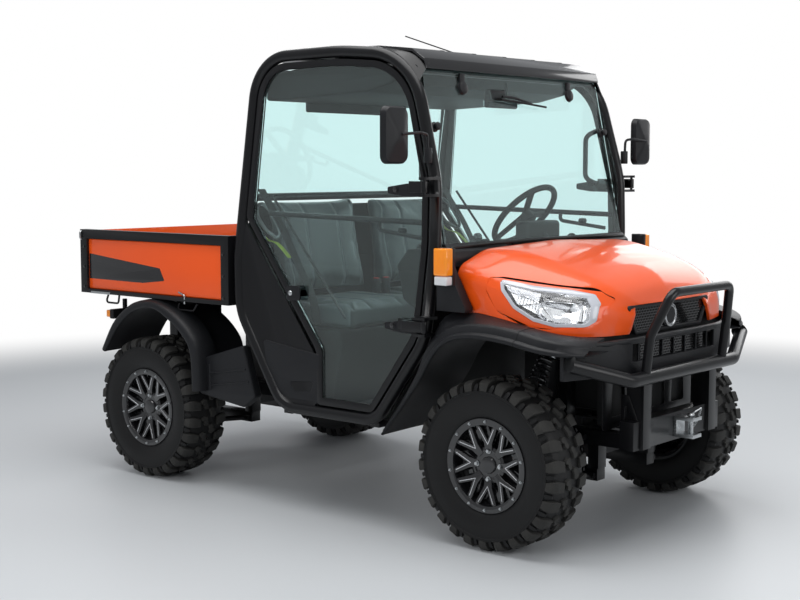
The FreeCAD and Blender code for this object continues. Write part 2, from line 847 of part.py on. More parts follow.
def hoop(label):
    """The left side hoop: one closed bend of tube."""
    path = doc.addObject("Sketcher::SketchObject", label + "_path")
    draw(path, [side_point(*share) for share in HOOP_SHARES])
    ring = doc.addObject("Part::Circle", label + "_ring")
    bind(ring, "Radius", s.hoop_radius)
    start = side_point(*HOOP_SHARES[0])
    middle = (start[0] + side_point(*HOOP_SHARES[1])[0]) / 2
    place(ring, middle, 0, 0, axis=(0, 1, 0), angle=90)
    sweep = doc.addObject("Part::Sweep", label)
    sweep.Sections = [ring]
    sweep.Spine = (path, [])
    sweep.Solid = True
    return sweep


def hoop_placed(label):
    """A closed sweep drawn flat, stood up in the leaning side."""
    stand = Rotation(Vector(1, 0, 0), 90 + LEAN)
    flat = hoop(label)
    item = doc.addObject("Part::Compound", label + "_side")
    item.Links = [flat]
    item.Placement = Placement(Vector(0, s.sill_half.value, s.cab_floor.value), stand)
    bind(item, "Placement.Base.y", s.sill_half)
    bind(item, "Placement.Base.z", s.cab_floor)
    return item


def cross_tube(label, x, z):
    """A tube between the hoops, which ends inside them and clear of the doors."""
    half = side_y(z) - s.door_wall * 0.6
    return rod(label, s.header_radius, half * 2, (x, -half, z), SIDEWAYS)


def cab_frame(label):
    left = hoop_placed("left_hoop")
    quarter = lean(plate("left_quarter", "XZ_Plane", [[side_point(*share) for share in QUARTER_SHARES]],
                         s.quarter_wall))
    sides = [left, mirrored("right_hoop", left), quarter, mirrored("right_quarter", quarter)]
    tubes = [cross_tube("front_header", *front_header), cross_tube("rear_header", *rear_header),
             cross_tube("waist_tube", *waist_tube), cross_tube("dash_tube", *cab_point(0.993, 0.44)),
             cross_tube("roof_tube", *roof_tube)]
    tubes += hinge_ears("left")
    return fused(label, sides + tubes)


def hinge_ears(tag):
    """The pillar's halves of the door hinges: ears above and below each barrel, and the pin."""
    items = []
    wide = s.hinge_barrel_radius
    for level, height, root in (("low", s.hinge_low, 4), ("high", s.hinge_high, 1.5)):
        ear = s.hinge_height / 4
        half = s.hinge_height / 2 + s.edge_gap
        group = []
        for end, bottom in (("under", height - half - ear), ("over", height + half)):
            group.append(box("ear_%s_%s" % (level, end), (s.hinge_x - wide * root, side_y(height), bottom),
                             (s.hinge_x + wide, s.hinge_y + wide, bottom + ear)))
        group.append(rod("pin_" + level, s.hinge_pin_radius, half * 2 + ear * 2,
                         (s.hinge_x, s.hinge_y, height - half - ear)))
        ears = fused("hinge_%s_left" % level, group)
        items += [ears, mirrored("hinge_%s_right" % level, ears)]
    return items


ROOF_SHARES = (
    (0.128, 0.994), (0.3, 1.0075), (0.5, 1.012), (0.7, 1.009), (0.85, 0.996), (0.905, 0.969), (0.915, 0.95),
)


def roof_panel(label):
    """The roof skin between the hoops, carried by the headers."""
    top = [cab_point(*share) for share in ROOF_SHARES]
    under = [(x, z - s.roof_wall) for x, z in reversed(top)]
    half = side_y(cab_top) - s.hoop_radius - s.edge_gap
    return plate(label, "XZ_Plane", [top + under], half * 2)


def windshield(label):
    """The flat front pane, raked back between the front pillars."""
    foot = (cab_point(*COWL_SHARES[1])[0] + s.glass_wall, cab_point(*COWL_SHARES[1])[1] + s.seat_gap
            + s.glass_wall * 0.1)
    reach = s.header_radius + s.glass_wall / 2 + s.seat_gap
    head = (front_header[0] + reach, front_header[1] + reach * 0.2)
    return raked_pane(label, foot, head, s.edge_gap)


def rear_window(label):
    reach = s.header_radius + s.seat_gap
    foot = (waist_tube[0], waist_tube[1] + reach)
    head = (rear_header[0], rear_header[1] - reach)
    return raked_pane(label, foot, head, s.edge_gap)


def raked_pane(label, foot, head, gap):
    low_half = side_y(foot[1]) - s.hoop_radius - gap
    high_half = side_y(head[1]) - s.hoop_radius - gap
    rise = head[1] - foot[1]
    run = head[0] - foot[0]
    angle = math.degrees(math.atan2(run.value, rise.value))
    length = math.hypot(run.value, rise.value) / rise.value
    corner = s.edge_gap * 5
    points = [(-low_half, 0), (low_half, 0), (high_half, rise * length, corner),
              (-high_half, rise * length, corner)]
    pane = plate(label, "YZ_Plane", [points], s.glass_wall)
    return place(pane, foot[0], 0, foot[1], axis=(0, 1, 0), angle=angle)


# Doors

HINGE_LEVELS = (("low", s.hinge_low, 0.08), ("high", s.hinge_high, 0.044))


def door_frame(label):
    """The left door's frame with its hinge arms and its inside pull bar."""
    loops = [[side_point(*share) for share in shares] for shares in (DOOR_SHARES, WINDOW_SHARES)]
    items = [lean(plate(label + "_ring", "XZ_Plane", loops, s.door_wall))]
    for level, height, share in HINGE_LEVELS:
        half = s.hinge_height / 2
        face = side_y(height) + s.door_wall / 2
        leaf = s.hinge_barrel_radius / 2
        end = s.hinge_x - s.cab_length * share
        low = height - half
        high = height + half
        name = "%s_%s" % (label, level)
        items.append(box(name + "_leaf", (end - s.hinge_arm_length * 0.6, face - leaf, low),
                         (end, face + leaf, high)))
        items.append(box(name + "_reach", (end - leaf * 4, face - leaf, low), (end, s.hinge_y + leaf, high)))
        items.append(box(name + "_strap", (end - leaf * 2, s.hinge_y - leaf, low),
                         (s.hinge_x, s.hinge_y + leaf, high)))
        items.append(rod("%s_barrel_%s" % (label, level), s.hinge_barrel_radius, s.hinge_height,
                         (s.hinge_x, s.hinge_y, height - half)))
    solid = fused(label + "_solid", items)
    bores = [rod("%s_bore_%s" % (label, level), s.hinge_pin_radius + s.run_gap,
                 s.hinge_height + s.overrun * 2,
                 (s.hinge_x, s.hinge_y, height - s.hinge_height / 2 - s.overrun))
             for level, height, share in HINGE_LEVELS]
    return cut(label, solid, fused(label + "_bores", bores))


def shrunk(shares, gap_share):
    """An outline drawn in towards its middle, so that a pane fits its frame."""
    middle_x = sum(point[0] for point in shares) / len(shares)
    middle_z = sum(point[1] for point in shares) / len(shares)
    keep = 1 - gap_share
    return [(middle_x + (point[0] - middle_x) * keep, middle_z + (point[1] - middle_z) * keep)
            + tuple(point[2:])
            for point in shares]


PANE_GAP_SHARE = 0.0012


def door_glass(label):
    points = [side_point(*share) for share in shrunk(WINDOW_SHARES, PANE_GAP_SHARE)]
    return lean(plate(label, "XZ_Plane", [points], s.door_glass_wall))


# Cab inside

PAN_SHARES = (
    (0.27, 0.0), (0.033, 0.264), (0.012, 0.408), (0.03, 0.573),
)
TOE_SHARES = ((0.77, 0.0), (0.966, 0.22), (0.966, 0.43))


def floor_pan(label):
    """Floor, toe board, firewall and rear bulkhead, a panel for each flat run."""
    under = [cab_point(*share) for share in PAN_SHARES[::-1] + TOE_SHARES]
    wall = s.floor_wall
    lifts = ((wall, 0), (wall, 0), (wall, 0), (wall / 2, wall), (-wall / 2, wall), (-wall, 0), (-wall, 0))
    inner = [(x + dx, z + dz) for (x, z), (dx, dz) in zip(under, lifts)]
    drop = s.cab_floor - s.rail_top
    panels = []
    for number in range(len(under) - 1):
        near, far = number, number + 1
        low = [toward(under[near], under[far], SEAM_SHARE), toward(under[far], under[near], SEAM_SHARE)]
        high = [toward(inner[far], inner[near], SEAM_SHARE), toward(inner[near], inner[far], SEAM_SHARE)]
        points = [(x, z - drop) for x, z in low + high]
        clear_half = side_y(under[near][1]) - s.hoop_radius - s.seat_gap
        half = min((s.floor_half, clear_half), key=lambda size: size.value)
        panels.append(plate("%s_%d" % (label, number), "XZ_Plane", [points], half * 2))
    return grouped(label, panels)


SEAM_SHARE = 0.0008


def toward(start, end, share):
    """A place a share of the way from one point to another."""
    return tuple(a + (b - a) * share for a, b in zip(start, end))


SEAT_BASE_SHARES = ((0.45, 0.0), (0.30, 0.0), (0.08, 0.225), (0.5, 0.225), (0.5, 0.18))
CUSHION_SHARES = ((0.105, 0.0, 0.01), (0.08, 1.0, 0.01), (0.53, 1.0, 0.02), (0.53, 0.0, 0.01))
BACK_SHARES = ((0.1, 0.0, 0.01), (0.045, 1.0, 0.02), (0.12, 1.0, 0.02), (0.2, 0.0, 0.01))


def seat_base(label):
    floor_top = s.rail_top + s.floor_wall - s.cab_floor
    points = [cab_point(*share) for share in SEAT_BASE_SHARES]
    points[0] = (points[0][0], s.cab_floor + floor_top)
    points[1] = (points[1][0], s.cab_floor + floor_top)
    return plate(label, "XZ_Plane", [points], s.seat_base_half * 2)


base_top = cab_point(0, SEAT_BASE_SHARES[2][1])[1]
cushion_foot = base_top + s.seat_gap
back_foot = cushion_foot + s.cushion_height + s.seat_gap


def seat_pads(label, shares, foot, height):
    """A pair of pads whose outline's shares run along the cab and up the pad."""
    wide = s.cushion_outer - s.cushion_inner
    points = [(cab_point(across, 0)[0], foot + height * up, s.cab_height * corner)
              for across, up, corner in shares]
    left = plate(label + "_left", "XZ_Plane", [points], wide)
    place(left, 0, s.cushion_inner + wide / 2, 0)
    return both_sides(label, left)


DASH_SHARES = ((0.955, 0.3), (0.955, 0.47), (0.84, 0.465), (0.79, 0.42), (0.82, 0.33), (0.89, 0.3))


def dashboard(label):
    """The dash block with the steering column."""
    points = [cab_point(*share) for share in DASH_SHARES]
    back = cab_point(*TOE_SHARES[1])[0] - s.floor_wall - s.seat_gap
    points[0] = (back, points[0][1])
    points[1] = (back, points[1][1])
    face = plate(label + "_face", "XZ_Plane", [points], s.dash_half * 2)
    column = doc.addObject("Part::Feature", label + "_column")
    start = Vector(s.wheel_x.value, s.wheel_y.value, s.wheel_z.value)
    way = Vector(1, 0, -0.9).normalize()
    gap = s.column_radius.value * 2
    column.Shape = Part.makeCylinder(s.column_radius.value, s.cab_length.value * 0.2, start + way * gap, way)
    return fused(label, [face, column])


def steering_wheel(label):
    """A ring with three spokes and a hub, square to the column."""
    ring = doc.addObject("Part::Torus", label + "_ring")
    bind(ring, "Radius1", s.wheel_ring_radius)
    bind(ring, "Radius2", s.wheel_grip_radius)
    hub = rod(label + "_hub", s.column_radius * 1.6, s.column_radius * 2 - s.run_gap,
              (0, 0, -s.column_radius * 2 + s.run_gap))
    items = [ring, hub]
    for number in range(3):
        spoke = doc.addObject("Part::Box", "%s_spoke_%d" % (label, number))
        bind(spoke, "Length", s.wheel_ring_radius)
        bind(spoke, "Width", s.wheel_grip_radius * 2)
        bind(spoke, "Height", s.wheel_grip_radius)
        turn = Rotation(Vector(0, 0, 1), 90 + 120 * number)
        offset = turn.multVec(Vector(0, -s.wheel_grip_radius.value, -s.wheel_grip_radius.value / 2))
        spoke.Placement = Placement(offset, turn)
        items.append(spoke)
    wheel = fused(label, items)
    tilt = math.degrees(math.atan2(1, 0.9))
    return place(wheel, s.wheel_x, s.wheel_y, s.wheel_z, axis=(0, 1, 0), angle=-tilt)


# Front body

# Station along the hood, half width, side foot, shoulder, crown edge and crown, as shares
HOOD_SHARES = (
    (0.0, 1.0, 0.18, 0.76, 0.95, 1.0),
    (0.24, 0.994, 0.15, 0.66, 0.935, 0.994),
    (0.49, 0.98, 0.075, 0.53, 0.83, 0.9),
    (0.71, 0.943, 0.04, 0.44, 0.7, 0.77),
    (0.86, 0.84, 0.015, 0.36, 0.57, 0.645),
    (0.95, 0.644, 0.0, 0.28, 0.42, 0.463),
    (1.0, 0.48, 0.0, 0.195, 0.285, 0.31),
)


def hood_section(label, shares, inset):
    along, half_share, foot, shoulder, edge, crown = shares
    rise = s.hood_crown - s.hood_foot
    half = s.hood_half * half_share - inset
    low = s.hood_foot + rise * foot - inset
    edge_y = half * 0.72
    points = [(half, low), (half, s.hood_foot + rise * shoulder - inset, half * 0.11),
              (edge_y, s.hood_foot + rise * edge - inset, half * 0.45), (0, s.hood_foot + rise * crown
                                                                         - inset)]
    points += [(-1 * across, up, *rest) for across, up, *rest in reversed(points[:3])]
    sketch = doc.addObject("Sketcher::SketchObject", label)
    draw(sketch, points)
    x = s.hood_rear + (s.hood_nose - s.hood_rear) * along
    if along in (0.0, 1.0):
        x = x - inset
    sketch.Placement = Placement(Vector(x.value, 0, 0), Rotation(Vector(1, 1, 1), 120))
    bind(sketch, "Placement.Base.x", x)
    return sketch


def hood_loft(label, inset):
    sections = [hood_section("%s_section_%d" % (label, number), shares, inset)
                for number, shares in enumerate(HOOD_SHARES)]
    loft = doc.addObject("Part::Loft", label)
    loft.Sections = sections
    loft.Solid = True
    return loft


LAMP_SHARES = (
    (0.248, 0.65), (0.235, 0.5, 0.1), (0.32, 0.27, 0.12), (0.485, 0.14, 0.2), (0.655, 0.095, 0.3),
    (0.85, 0.11, 0.06), (0.93, 0.19, 0.06), (0.935, 0.42, 0.08), (0.85, 0.55, 0.2), (0.55, 0.62, 0.3),
    (0.33, 0.666, 0.1),
)


def hood_point(across_share, up_share, corner_share=None):
    point = [s.hood_rear + (s.hood_nose - s.hood_rear) * across_share,
             s.hood_foot + (s.hood_crown - s.hood_foot) * up_share]
    if corner_share:
        point.append((s.hood_crown - s.hood_foot) * corner_share)
    return tuple(point)


def lamp_prism(label, grow_share):
    points = [hood_point(*share) for share in shrunk(LAMP_SHARES, -grow_share)]
    wide = s.hood_half - s.lamp_inner
    left = plate(label + "_left", "XZ_Plane", [points], wide * 2)
    place(left, 0, s.lamp_inner + wide, 0)
    return left


LAMP_GAP_SHARE = 0.0012


def hood_arms():
    """The hood's two hinge arms, each with its barrel."""
    items = []
    for side, tag in SIDES:
        half = s.hood_hinge_width / 2
        low_y, high_y = span(s.hood_hinge_y - half, s.hood_hinge_y + half, side)
        items.append(rod("hood_barrel_" + tag, s.hood_barrel_radius, high_y - low_y,
                         (s.hood_pivot_x, low_y, s.hood_pivot_z), SIDEWAYS))
        items.append(box("hood_arm_" + tag, (s.hood_pivot_x + s.hood_pin_radius * 1.2, low_y,
                                             s.hood_pivot_z - s.hood_pin_radius),
                         (s.hood_rear + s.hood_hinge_width, high_y, s.hood_crown - s.hood_wall * 1.6)))
    return items


def hood_bores():
    reach = s.hood_hinge_y + s.hood_hinge_width
    return rod("hood_bore", s.hood_pin_radius + s.run_gap, reach * 2,
               (s.hood_pivot_x, -reach, s.hood_pivot_z), SIDEWAYS)


def build_hood(hood_label, lamp_label):
    """The hood shell with its lamps let in flush."""
    outer = hood_loft("hood_outer", 0)
    inner = hood_loft("hood_inner", s.hood_wall)
    deep = hood_loft("hood_deep", s.hood_wall * 3)
    shell = cut("hood_skin", outer, inner)
    mouth = plate("grille_mouth", "YZ_Plane", [grille_outline(s.seat_gap)], s.grille_wall * 6)
    place(mouth, s.grille_x, 0, s.grille_foot)
    pocket = lamp_prism("lamp_pocket", LAMP_GAP_SHARE)
    cuts = fused("hood_cuts", [mouth, pocket, mirrored("lamp_pocket_right", pocket)])
    hood = cut(hood_label, fused("hood_with_arms", [cut("hood_open", shell, cuts)] + hood_arms()),
               hood_bores())
    prism = lamp_prism("lamp_body", 0.0)
    lamp_cut = cut("lamp_shell", shared("lamp_filled", [outer, prism]), deep)
    lamps = both_sides(lamp_label, lamp_cut)
    return hood, lamps


def grille_outline(gap):
    """The grille's tapered outline, grown by a gap."""
    foot, head = s.grille_foot_half + gap, s.grille_head_half + gap
    rise = s.grille_head - s.grille_foot
    return [(-foot, 0), (foot, 0), (head, rise + gap), (-head, rise + gap)]


def grille(label):
    """The upper grille: a tapered frame with level slots and a bare round badge."""
    low, high = s.grille_foot, s.grille_head
    rise = high - low
    loops = [grille_outline(0)]
    for number in range(4):
        slot_low = rise * (0.14 + 0.2 * number)
        slot_half = s.grille_head_half * 0.93
        loops.append([(-slot_half, slot_low), (slot_half, slot_low), (slot_half, slot_low + rise * 0.1),
                      (-slot_half, slot_low + rise * 0.1)])
    frame = plate(label + "_frame", "YZ_Plane", loops, s.grille_wall)
    badge = rod(label + "_badge", s.disc_radius, s.grille_wall * 1.3, (-s.grille_wall / 2, 0, rise / 2),
                FORWARD)
    return place(fused(label, [frame, badge]), s.grille_x, 0, low)


COWL_SHARES = ((1.012, 0.425), (1.012, 0.484), (1.025, 0.484), (1.052, 0.464), (1.057, 0.44), (1.052, 0.425))
CHEEK_SHARES = ((1.025, 0.32), (1.025, 0.44), (1.056, 0.45), (1.062, 0.44), (1.15, 0.325), (1.15, 0.32))


def cowl(label):
    """The black strip under the windshield with its two side cheeks."""
    half = side_y(cab_point(*COWL_SHARES[1])[1]) - s.hoop_radius - s.run_gap
    strip = plate(label + "_strip", "XZ_Plane", [[cab_point(*share) for share in COWL_SHARES]], half * 2)
    recesses = []
    pins = []
    for side, tag in SIDES:
        reach = s.hood_hinge_width / 2 + s.edge_gap
        low_y, high_y = span(s.hood_hinge_y - reach, s.hood_hinge_y + reach, side)
        clear = s.hood_barrel_radius + s.edge_gap / 2
        recesses.append(box("cowl_recess_" + tag,
                            (s.hood_pivot_x - clear, low_y, s.hood_pivot_z - clear * 1.2),
                            (s.hood_pivot_x + s.hood_wall * 5, high_y, s.hood_crown + s.overrun)))
        pins.append(rod("cowl_pin_" + tag, s.hood_pin_radius, high_y - low_y + s.edge_gap * 2,
                        (s.hood_pivot_x, low_y - s.edge_gap, s.hood_pivot_z), SIDEWAYS))
    open_strip = cut(label + "_open_strip", strip, fused("cowl_recesses", recesses))
    wide = s.hoop_radius * 2
    points = [cab_point(*share) for share in CHEEK_SHARES]
    foot = body_point(*FENDER_RISER_SHARES[3])[1] + s.seat_gap
    points[0] = (points[0][0], foot)
    points[-1] = (points[-1][0], foot)
    cheek = plate(label + "_cheek", "XZ_Plane", [points], wide)
    place(cheek, 0, half - s.run_gap + wide / 2, 0)
    return fused(label, [open_strip, cheek, mirrored(label + "_cheek_right", cheek)] + pins)


# Front fender outline as shares of the wheelbase and of the bed's foot height
FENDER_SHARES = (
    (0.235, 0.46), (0.256, 0.46), (0.351, 0.737), (0.383, 0.866), (0.42, 0.943), (0.457, 0.97),
    (0.508, 0.975), (0.559, 0.964), (0.617, 0.933), (0.655, 0.912), (0.658, 0.955), (0.62, 0.975),
    (0.56, 0.998), (0.508, 1.01), (0.457, 1.007), (0.41, 0.985), (0.379, 0.955), (0.36, 0.89),
)
FENDER_RISER_SHARES = (
    (0.379, 0.93), (0.42, 0.95), (0.38, 1.066), (0.44, 1.066), (0.577, 0.99), (0.62, 0.97),
    (0.508, 0.985), (0.44, 0.96),
)
LINER_SHARES = ((0.351, 0.737), (0.383, 0.866), (0.42, 0.943), (0.457, 0.97), (0.508, 0.975),
                (0.559, 0.964), (0.612, 0.936))


def body_point(across_share, up_share, corner_share=None):
    point = [s.wheelbase * across_share, s.bed_foot * up_share]
    if corner_share:
        point.append(s.bed_foot * corner_share)
    return tuple(point)


def band(points, wall):
    """A closed outline around an open line, one wall thick above it."""
    return points + [(x, z + wall) for x, z in reversed(points)]


def front_fenders(label):
    wide = s.fender_outer - s.fender_inner
    flare = plate(label + "_flare", "XZ_Plane", [[body_point(*share[:2]) for share in FENDER_SHARES]], wide)
    place(flare, 0, s.fender_inner + wide / 2, 0)
    order = (0, 2, 3, 4, 5, 6, 7, 1)
    riser = plate(label + "_riser", "XZ_Plane", [[body_point(*FENDER_RISER_SHARES[i]) for i in order]],
                  s.fender_skin)
    place(riser, 0, s.fender_inner + s.fender_skin / 2, 0)
    reach = s.fender_inner - s.strut_head_y - s.cross_width - s.overrun
    liner = plate(label + "_liner", "XZ_Plane",
                  [band([body_point(*share) for share in LINER_SHARES], s.fender_skin)], reach)
    place(liner, 0, s.fender_inner - reach / 2, 0)
    return both_sides(label, fused(label + "_left", [flare, riser, liner]))


FASCIA_SHARES = ((0.885, 1.0), (0.93, 1.0), (0.949, 0.873), (0.986, 0.642), (1.0, 0.45))


def front_fascia(label):
    """The curved lower nose between the fenders, with its mesh opening."""
    half = s.fender_inner - s.seat_gap
    front = s.fascia_front
    wall = s.fascia_wall
    plan = [(front * along, half * out) for along, out in FASCIA_SHARES]
    plan += [(x, -1 * y) for x, y in reversed(plan)]
    back = [(x - wall, y) for x, y in plan]
    outer, inner = plan, list(reversed(back))
    rise = s.fascia_head - s.fascia_foot
    wall_body = plate(label + "_wall", "XY_Plane", [outer + inner], rise)
    place(wall_body, 0, 0, s.fascia_foot + rise / 2)
    mouth = box(label + "_mouth", (front - wall * 2, -s.grille_foot_half, s.fascia_foot + rise * 0.35),
                (front + wall, s.grille_foot_half, s.fascia_head - rise * 0.15))
    bars = []
    for number in range(7):
        y = s.grille_foot_half * (number - 3) / 3.6
        bars.append(box("%s_bar_%d" % (label, number),
                        (front - wall, y - wall / 4, s.fascia_foot + rise * 0.2),
                        (front - wall / 2, y + wall / 4, s.fascia_head - rise * 0.1)))
    return fused(label, [cut(label + "_open", wall_body, mouth)] + bars)


def signal_lamps(label):
    """Front signal lamps on the cowl's ends and tail lamps under the bed's rear corners."""
    y = side_y(cab_point(*COWL_SHARES[1])[1]) + s.hoop_radius - s.run_gap
    x = s.cab_length - s.cab_rear + s.hoop_radius * 2
    return box(label + "_front", (x, y, s.signal_foot),
               (x + s.signal_length, y + s.signal_depth, s.signal_foot + s.signal_height))


# Bumper and tow hitch

def front_bumper(label):
    """The bent main tube, the guard hoop, two drop posts and the hitch beam."""
    bend = s.bumper_radius * 3
    main = bent_tube(label + "_main", [
        (s.bumper_end_x, -s.bumper_end_y, s.bumper_end_z), (s.bumper_x, -s.bumper_y, s.bumper_z),
        (s.bumper_x, s.bumper_y, s.bumper_z), (s.bumper_end_x, s.bumper_end_y, s.bumper_end_z)],
        s.bumper_radius, bend)
    foot = s.guard_foot_y
    top_in = s.guard_top_y
    guard = bent_tube(label + "_guard", [
        (s.bumper_x, -foot, s.bumper_z), (s.bumper_x + s.guard_radius, -foot, s.guard_knee_z),
        (s.guard_top_x, -top_in, s.guard_top_z), (s.guard_top_x, top_in, s.guard_top_z),
        (s.bumper_x + s.guard_radius, foot, s.guard_knee_z), (s.bumper_x, foot, s.bumper_z)],
        s.guard_radius, s.guard_radius * 3)
    items = [main, guard]
    back = s.rail_front
    for side, tag in SIDES:
        low_y, high_y = span(rail_inner, rail_outer, side)
        items.append(box("%s_post_%s" % (label, tag), (back + s.seat_gap, low_y, s.hitch_foot),
                         (s.bumper_x - s.bumper_radius / 2, high_y, s.bumper_z)))
    items.append(box(label + "_beam", (back + s.seat_gap, -s.hitch_half, s.hitch_foot),
                     (s.bumper_x - s.bumper_radius, s.hitch_half, s.hitch_head)))
    return fused(label, items)


def tow_clevis(label):
    """The bare metal jaw at the middle of the hitch beam, with its pin hole."""
    x = s.bumper_x - s.bumper_radius + s.seat_gap
    z = (s.hitch_foot + s.hitch_head) / 2
    half = s.clevis_height / 2
    y = s.clevis_width / 2
    items = [box(label + "_back", (x, -y, z - half), (x + s.clevis_wall, y, z + half)),
             box(label + "_over", (x, -y, z + half - s.clevis_wall),
                 (x + s.clevis_length * 0.9, y, z + half)),
             box(label + "_under", (x, -y, z - half),
                 (x + s.clevis_length * 0.9, y, z - half + s.clevis_wall))]
    hole = rod(label + "_hole", s.clevis_pin_radius, s.clevis_height + s.overrun * 2,
               (x + s.clevis_length * 0.6, 0, z - half - s.overrun))
    return cut(label, fused(label + "_jaw", items), hole)


# Rear body

FLARE_OUTER_SHARES = (
    (-0.644, 0.723), (-0.6, 0.861), (-0.558, 0.94), (-0.525, 0.98), (-0.4536, 0.991), (-0.378, 0.933),
    (-0.326, 0.849), (-0.301, 0.738), (-0.296, 0.53),
)
FLARE_INNER_SHARES = (
    (-0.319, 0.53), (-0.324, 0.725), (-0.346, 0.811), (-0.393, 0.892), (-0.4536, 0.952), (-0.511, 0.935),
    (-0.55, 0.892), (-0.59, 0.811), (-0.63, 0.7),
)
COVER_SHARES = ((-0.341, 0.695), (-0.178, 0.797), (-0.141, 0.533), (-0.179, 0.47), (-0.3386, 0.504))


def rear_fenders(label):
    """The rear flares with their liners and the side covers ahead of them."""
    wide = s.fender_outer - s.hood_half
    outline = [body_point(*share) for share in FLARE_OUTER_SHARES + FLARE_INNER_SHARES]
    flare = plate(label + "_flare", "XZ_Plane", [outline], wide)
    place(flare, 0, s.hood_half + wide / 2, 0)
    reach = s.hood_half - rail_outer - s.seat_gap
    line = [body_point(*share) for share in reversed(FLARE_INNER_SHARES[1:])]
    liner = plate(label + "_liner", "XZ_Plane", [band(line, s.fender_skin)], reach)
    place(liner, 0, s.hood_half - reach / 2, 0)
    cover = plate(label + "_cover", "XZ_Plane", [[body_point(*share) for share in COVER_SHARES]],
                  s.hoop_radius)
    place(cover, 0, s.hood_half + s.hoop_radius, 0)
    return both_sides(label, fused(label + "_left", [flare, liner, cover]))


def cargo_bed(label):
    """Floor, front wall, side skins, top rails and posts, with pivot ears and the cylinder's ears."""
    rear, front = -s.bed_rear, -s.bed_front
    half = s.bed_half
    floor_top = s.bed_foot + s.bed_floor_wall
    rail_in = half - s.bed_rail_width
    items = [box(label + "_floor", (rear + s.gate_wall * 2, -half, s.bed_foot), (front, half, floor_top)),
             box(label + "_front", (front - s.bed_floor_wall, -half, s.bed_foot), (front, half, s.bed_head))]
    for side, tag in SIDES:
        low_y, high_y = span(rail_in, half, side)
        items.append(box("%s_rail_%s" % (label, tag), (rear, low_y, s.bed_head - s.bed_rail_height),
                         (front, high_y, s.bed_head)))
        for end, start in (("rear", rear), ("front", front - s.bed_post_length)):
            items.append(box("%s_post_%s_%s" % (label, end, tag), (start, low_y, s.bed_foot),
                             (start + s.bed_post_length, high_y, s.bed_head)))
        low_y, high_y = span(rail_in, rail_in + s.bed_skin, side)
        items.append(box("%s_skin_%s" % (label, tag), (rear, low_y, s.bed_foot), (front, high_y, s.bed_head)))
        ear_in = rail_outer + s.edge_gap
        low_y, high_y = span(ear_in, ear_in + s.bed_skin, side)
        bore = s.cylinder_rod_radius
        items.append(box("%s_pivot_%s" % (label, tag), (-s.bed_pivot_x - bore, low_y, s.bed_pivot_z - bore),
                         (-s.bed_pivot_x + bore, high_y, floor_top)))
        low_y, high_y = span(s.cylinder_eye_width * 0.75, s.cylinder_eye_width, side)
        ear = s.cylinder_eye_radius
        items.append(box("%s_eye_%s" % (label, tag), (-s.cylinder_eye_x - ear, low_y, s.cylinder_eye_z - ear),
                         (-s.cylinder_eye_x + ear, high_y, floor_top)))
    bores = []
    for side, tag in SIDES:
        low_y, high_y = span(rail_outer, rail_outer + s.edge_gap * 4, side)
        bores.append(rod("%s_bore_%s" % (label, tag), s.gate_pivot_radius + s.run_gap, high_y - low_y,
                         (-s.bed_pivot_x, low_y, s.bed_pivot_z), SIDEWAYS))
        low_y, high_y = span(rail_in - s.overrun, rail_in + s.edge_gap * 4, side)
        bores.append(rod("%s_gate_bore_%s" % (label, tag), s.gate_pivot_radius + s.run_gap, high_y - low_y,
                         gate_pin(low_y), SIDEWAYS))
    return cut(label, fused(label + "_steel", items), fused(label + "_bores", bores))


def bed_side_panels(label):
    """The painted panels let into the bed's sides between rail and floor."""
    rear, front = -s.bed_rear, -s.bed_front
    gap = s.seat_gap
    inner = s.bed_half - s.bed_rail_width + s.bed_skin + gap
    left = box(label + "_left", (rear + s.bed_post_length + gap, inner, s.bed_foot + s.bed_floor_wall + gap),
               (front - s.bed_post_length - gap, inner + s.side_panel_wall * 2, s.bed_head
                - s.bed_rail_height - gap))
    return both_sides(label, left)


def gate_pin(y):
    """Where the tailgate's foot turns."""
    return (-s.bed_rear + s.edge_gap / 2 + s.gate_wall / 2, y, s.bed_foot + s.edge_gap + s.gate_wall / 2)


def tailgate(label):
    """The gate, hinged at its foot, with its two wire latch handles."""
    half = s.bed_half - s.bed_rail_width - s.edge_gap
    x = -s.bed_rear + s.edge_gap / 2
    panel = box(label + "_panel", (x, -half, s.bed_foot + s.edge_gap),
                (x + s.gate_wall, half, s.bed_head - s.edge_gap))
    items = [panel]
    for side, tag in SIDES:
        y = half * 0.94
        z = s.bed_head - s.bed_rail_height
        reach = -s.latch_reach + s.latch_radius
        low_y, high_y = span(half - s.edge_gap, half + s.edge_gap * 4, side)
        items.append(rod("%s_pin_%s" % (label, tag), s.gate_pivot_radius, high_y - low_y, gate_pin(low_y),
                         SIDEWAYS))
        items.append(bent_tube("%s_latch_%s" % (label, tag), [
            (x + s.gate_wall / 2, y * side, z), (reach, y * side, z), (reach, y * side, z
                                                                       - s.bed_rail_height * 1.5),
            (x + s.gate_wall / 2, y * side, z - s.bed_rail_height
             * 1.5)], s.latch_radius, s.latch_radius * 2))
    return fused(label, items)


# Bed cylinder

def cylinder_pose():
    run = s.cylinder_foot_x.value - s.cylinder_eye_x.value
    rise = s.cylinder_eye_z.value - s.cylinder_foot_z.value
    return math.degrees(math.atan2(run, rise)), math.hypot(run, rise) / rise


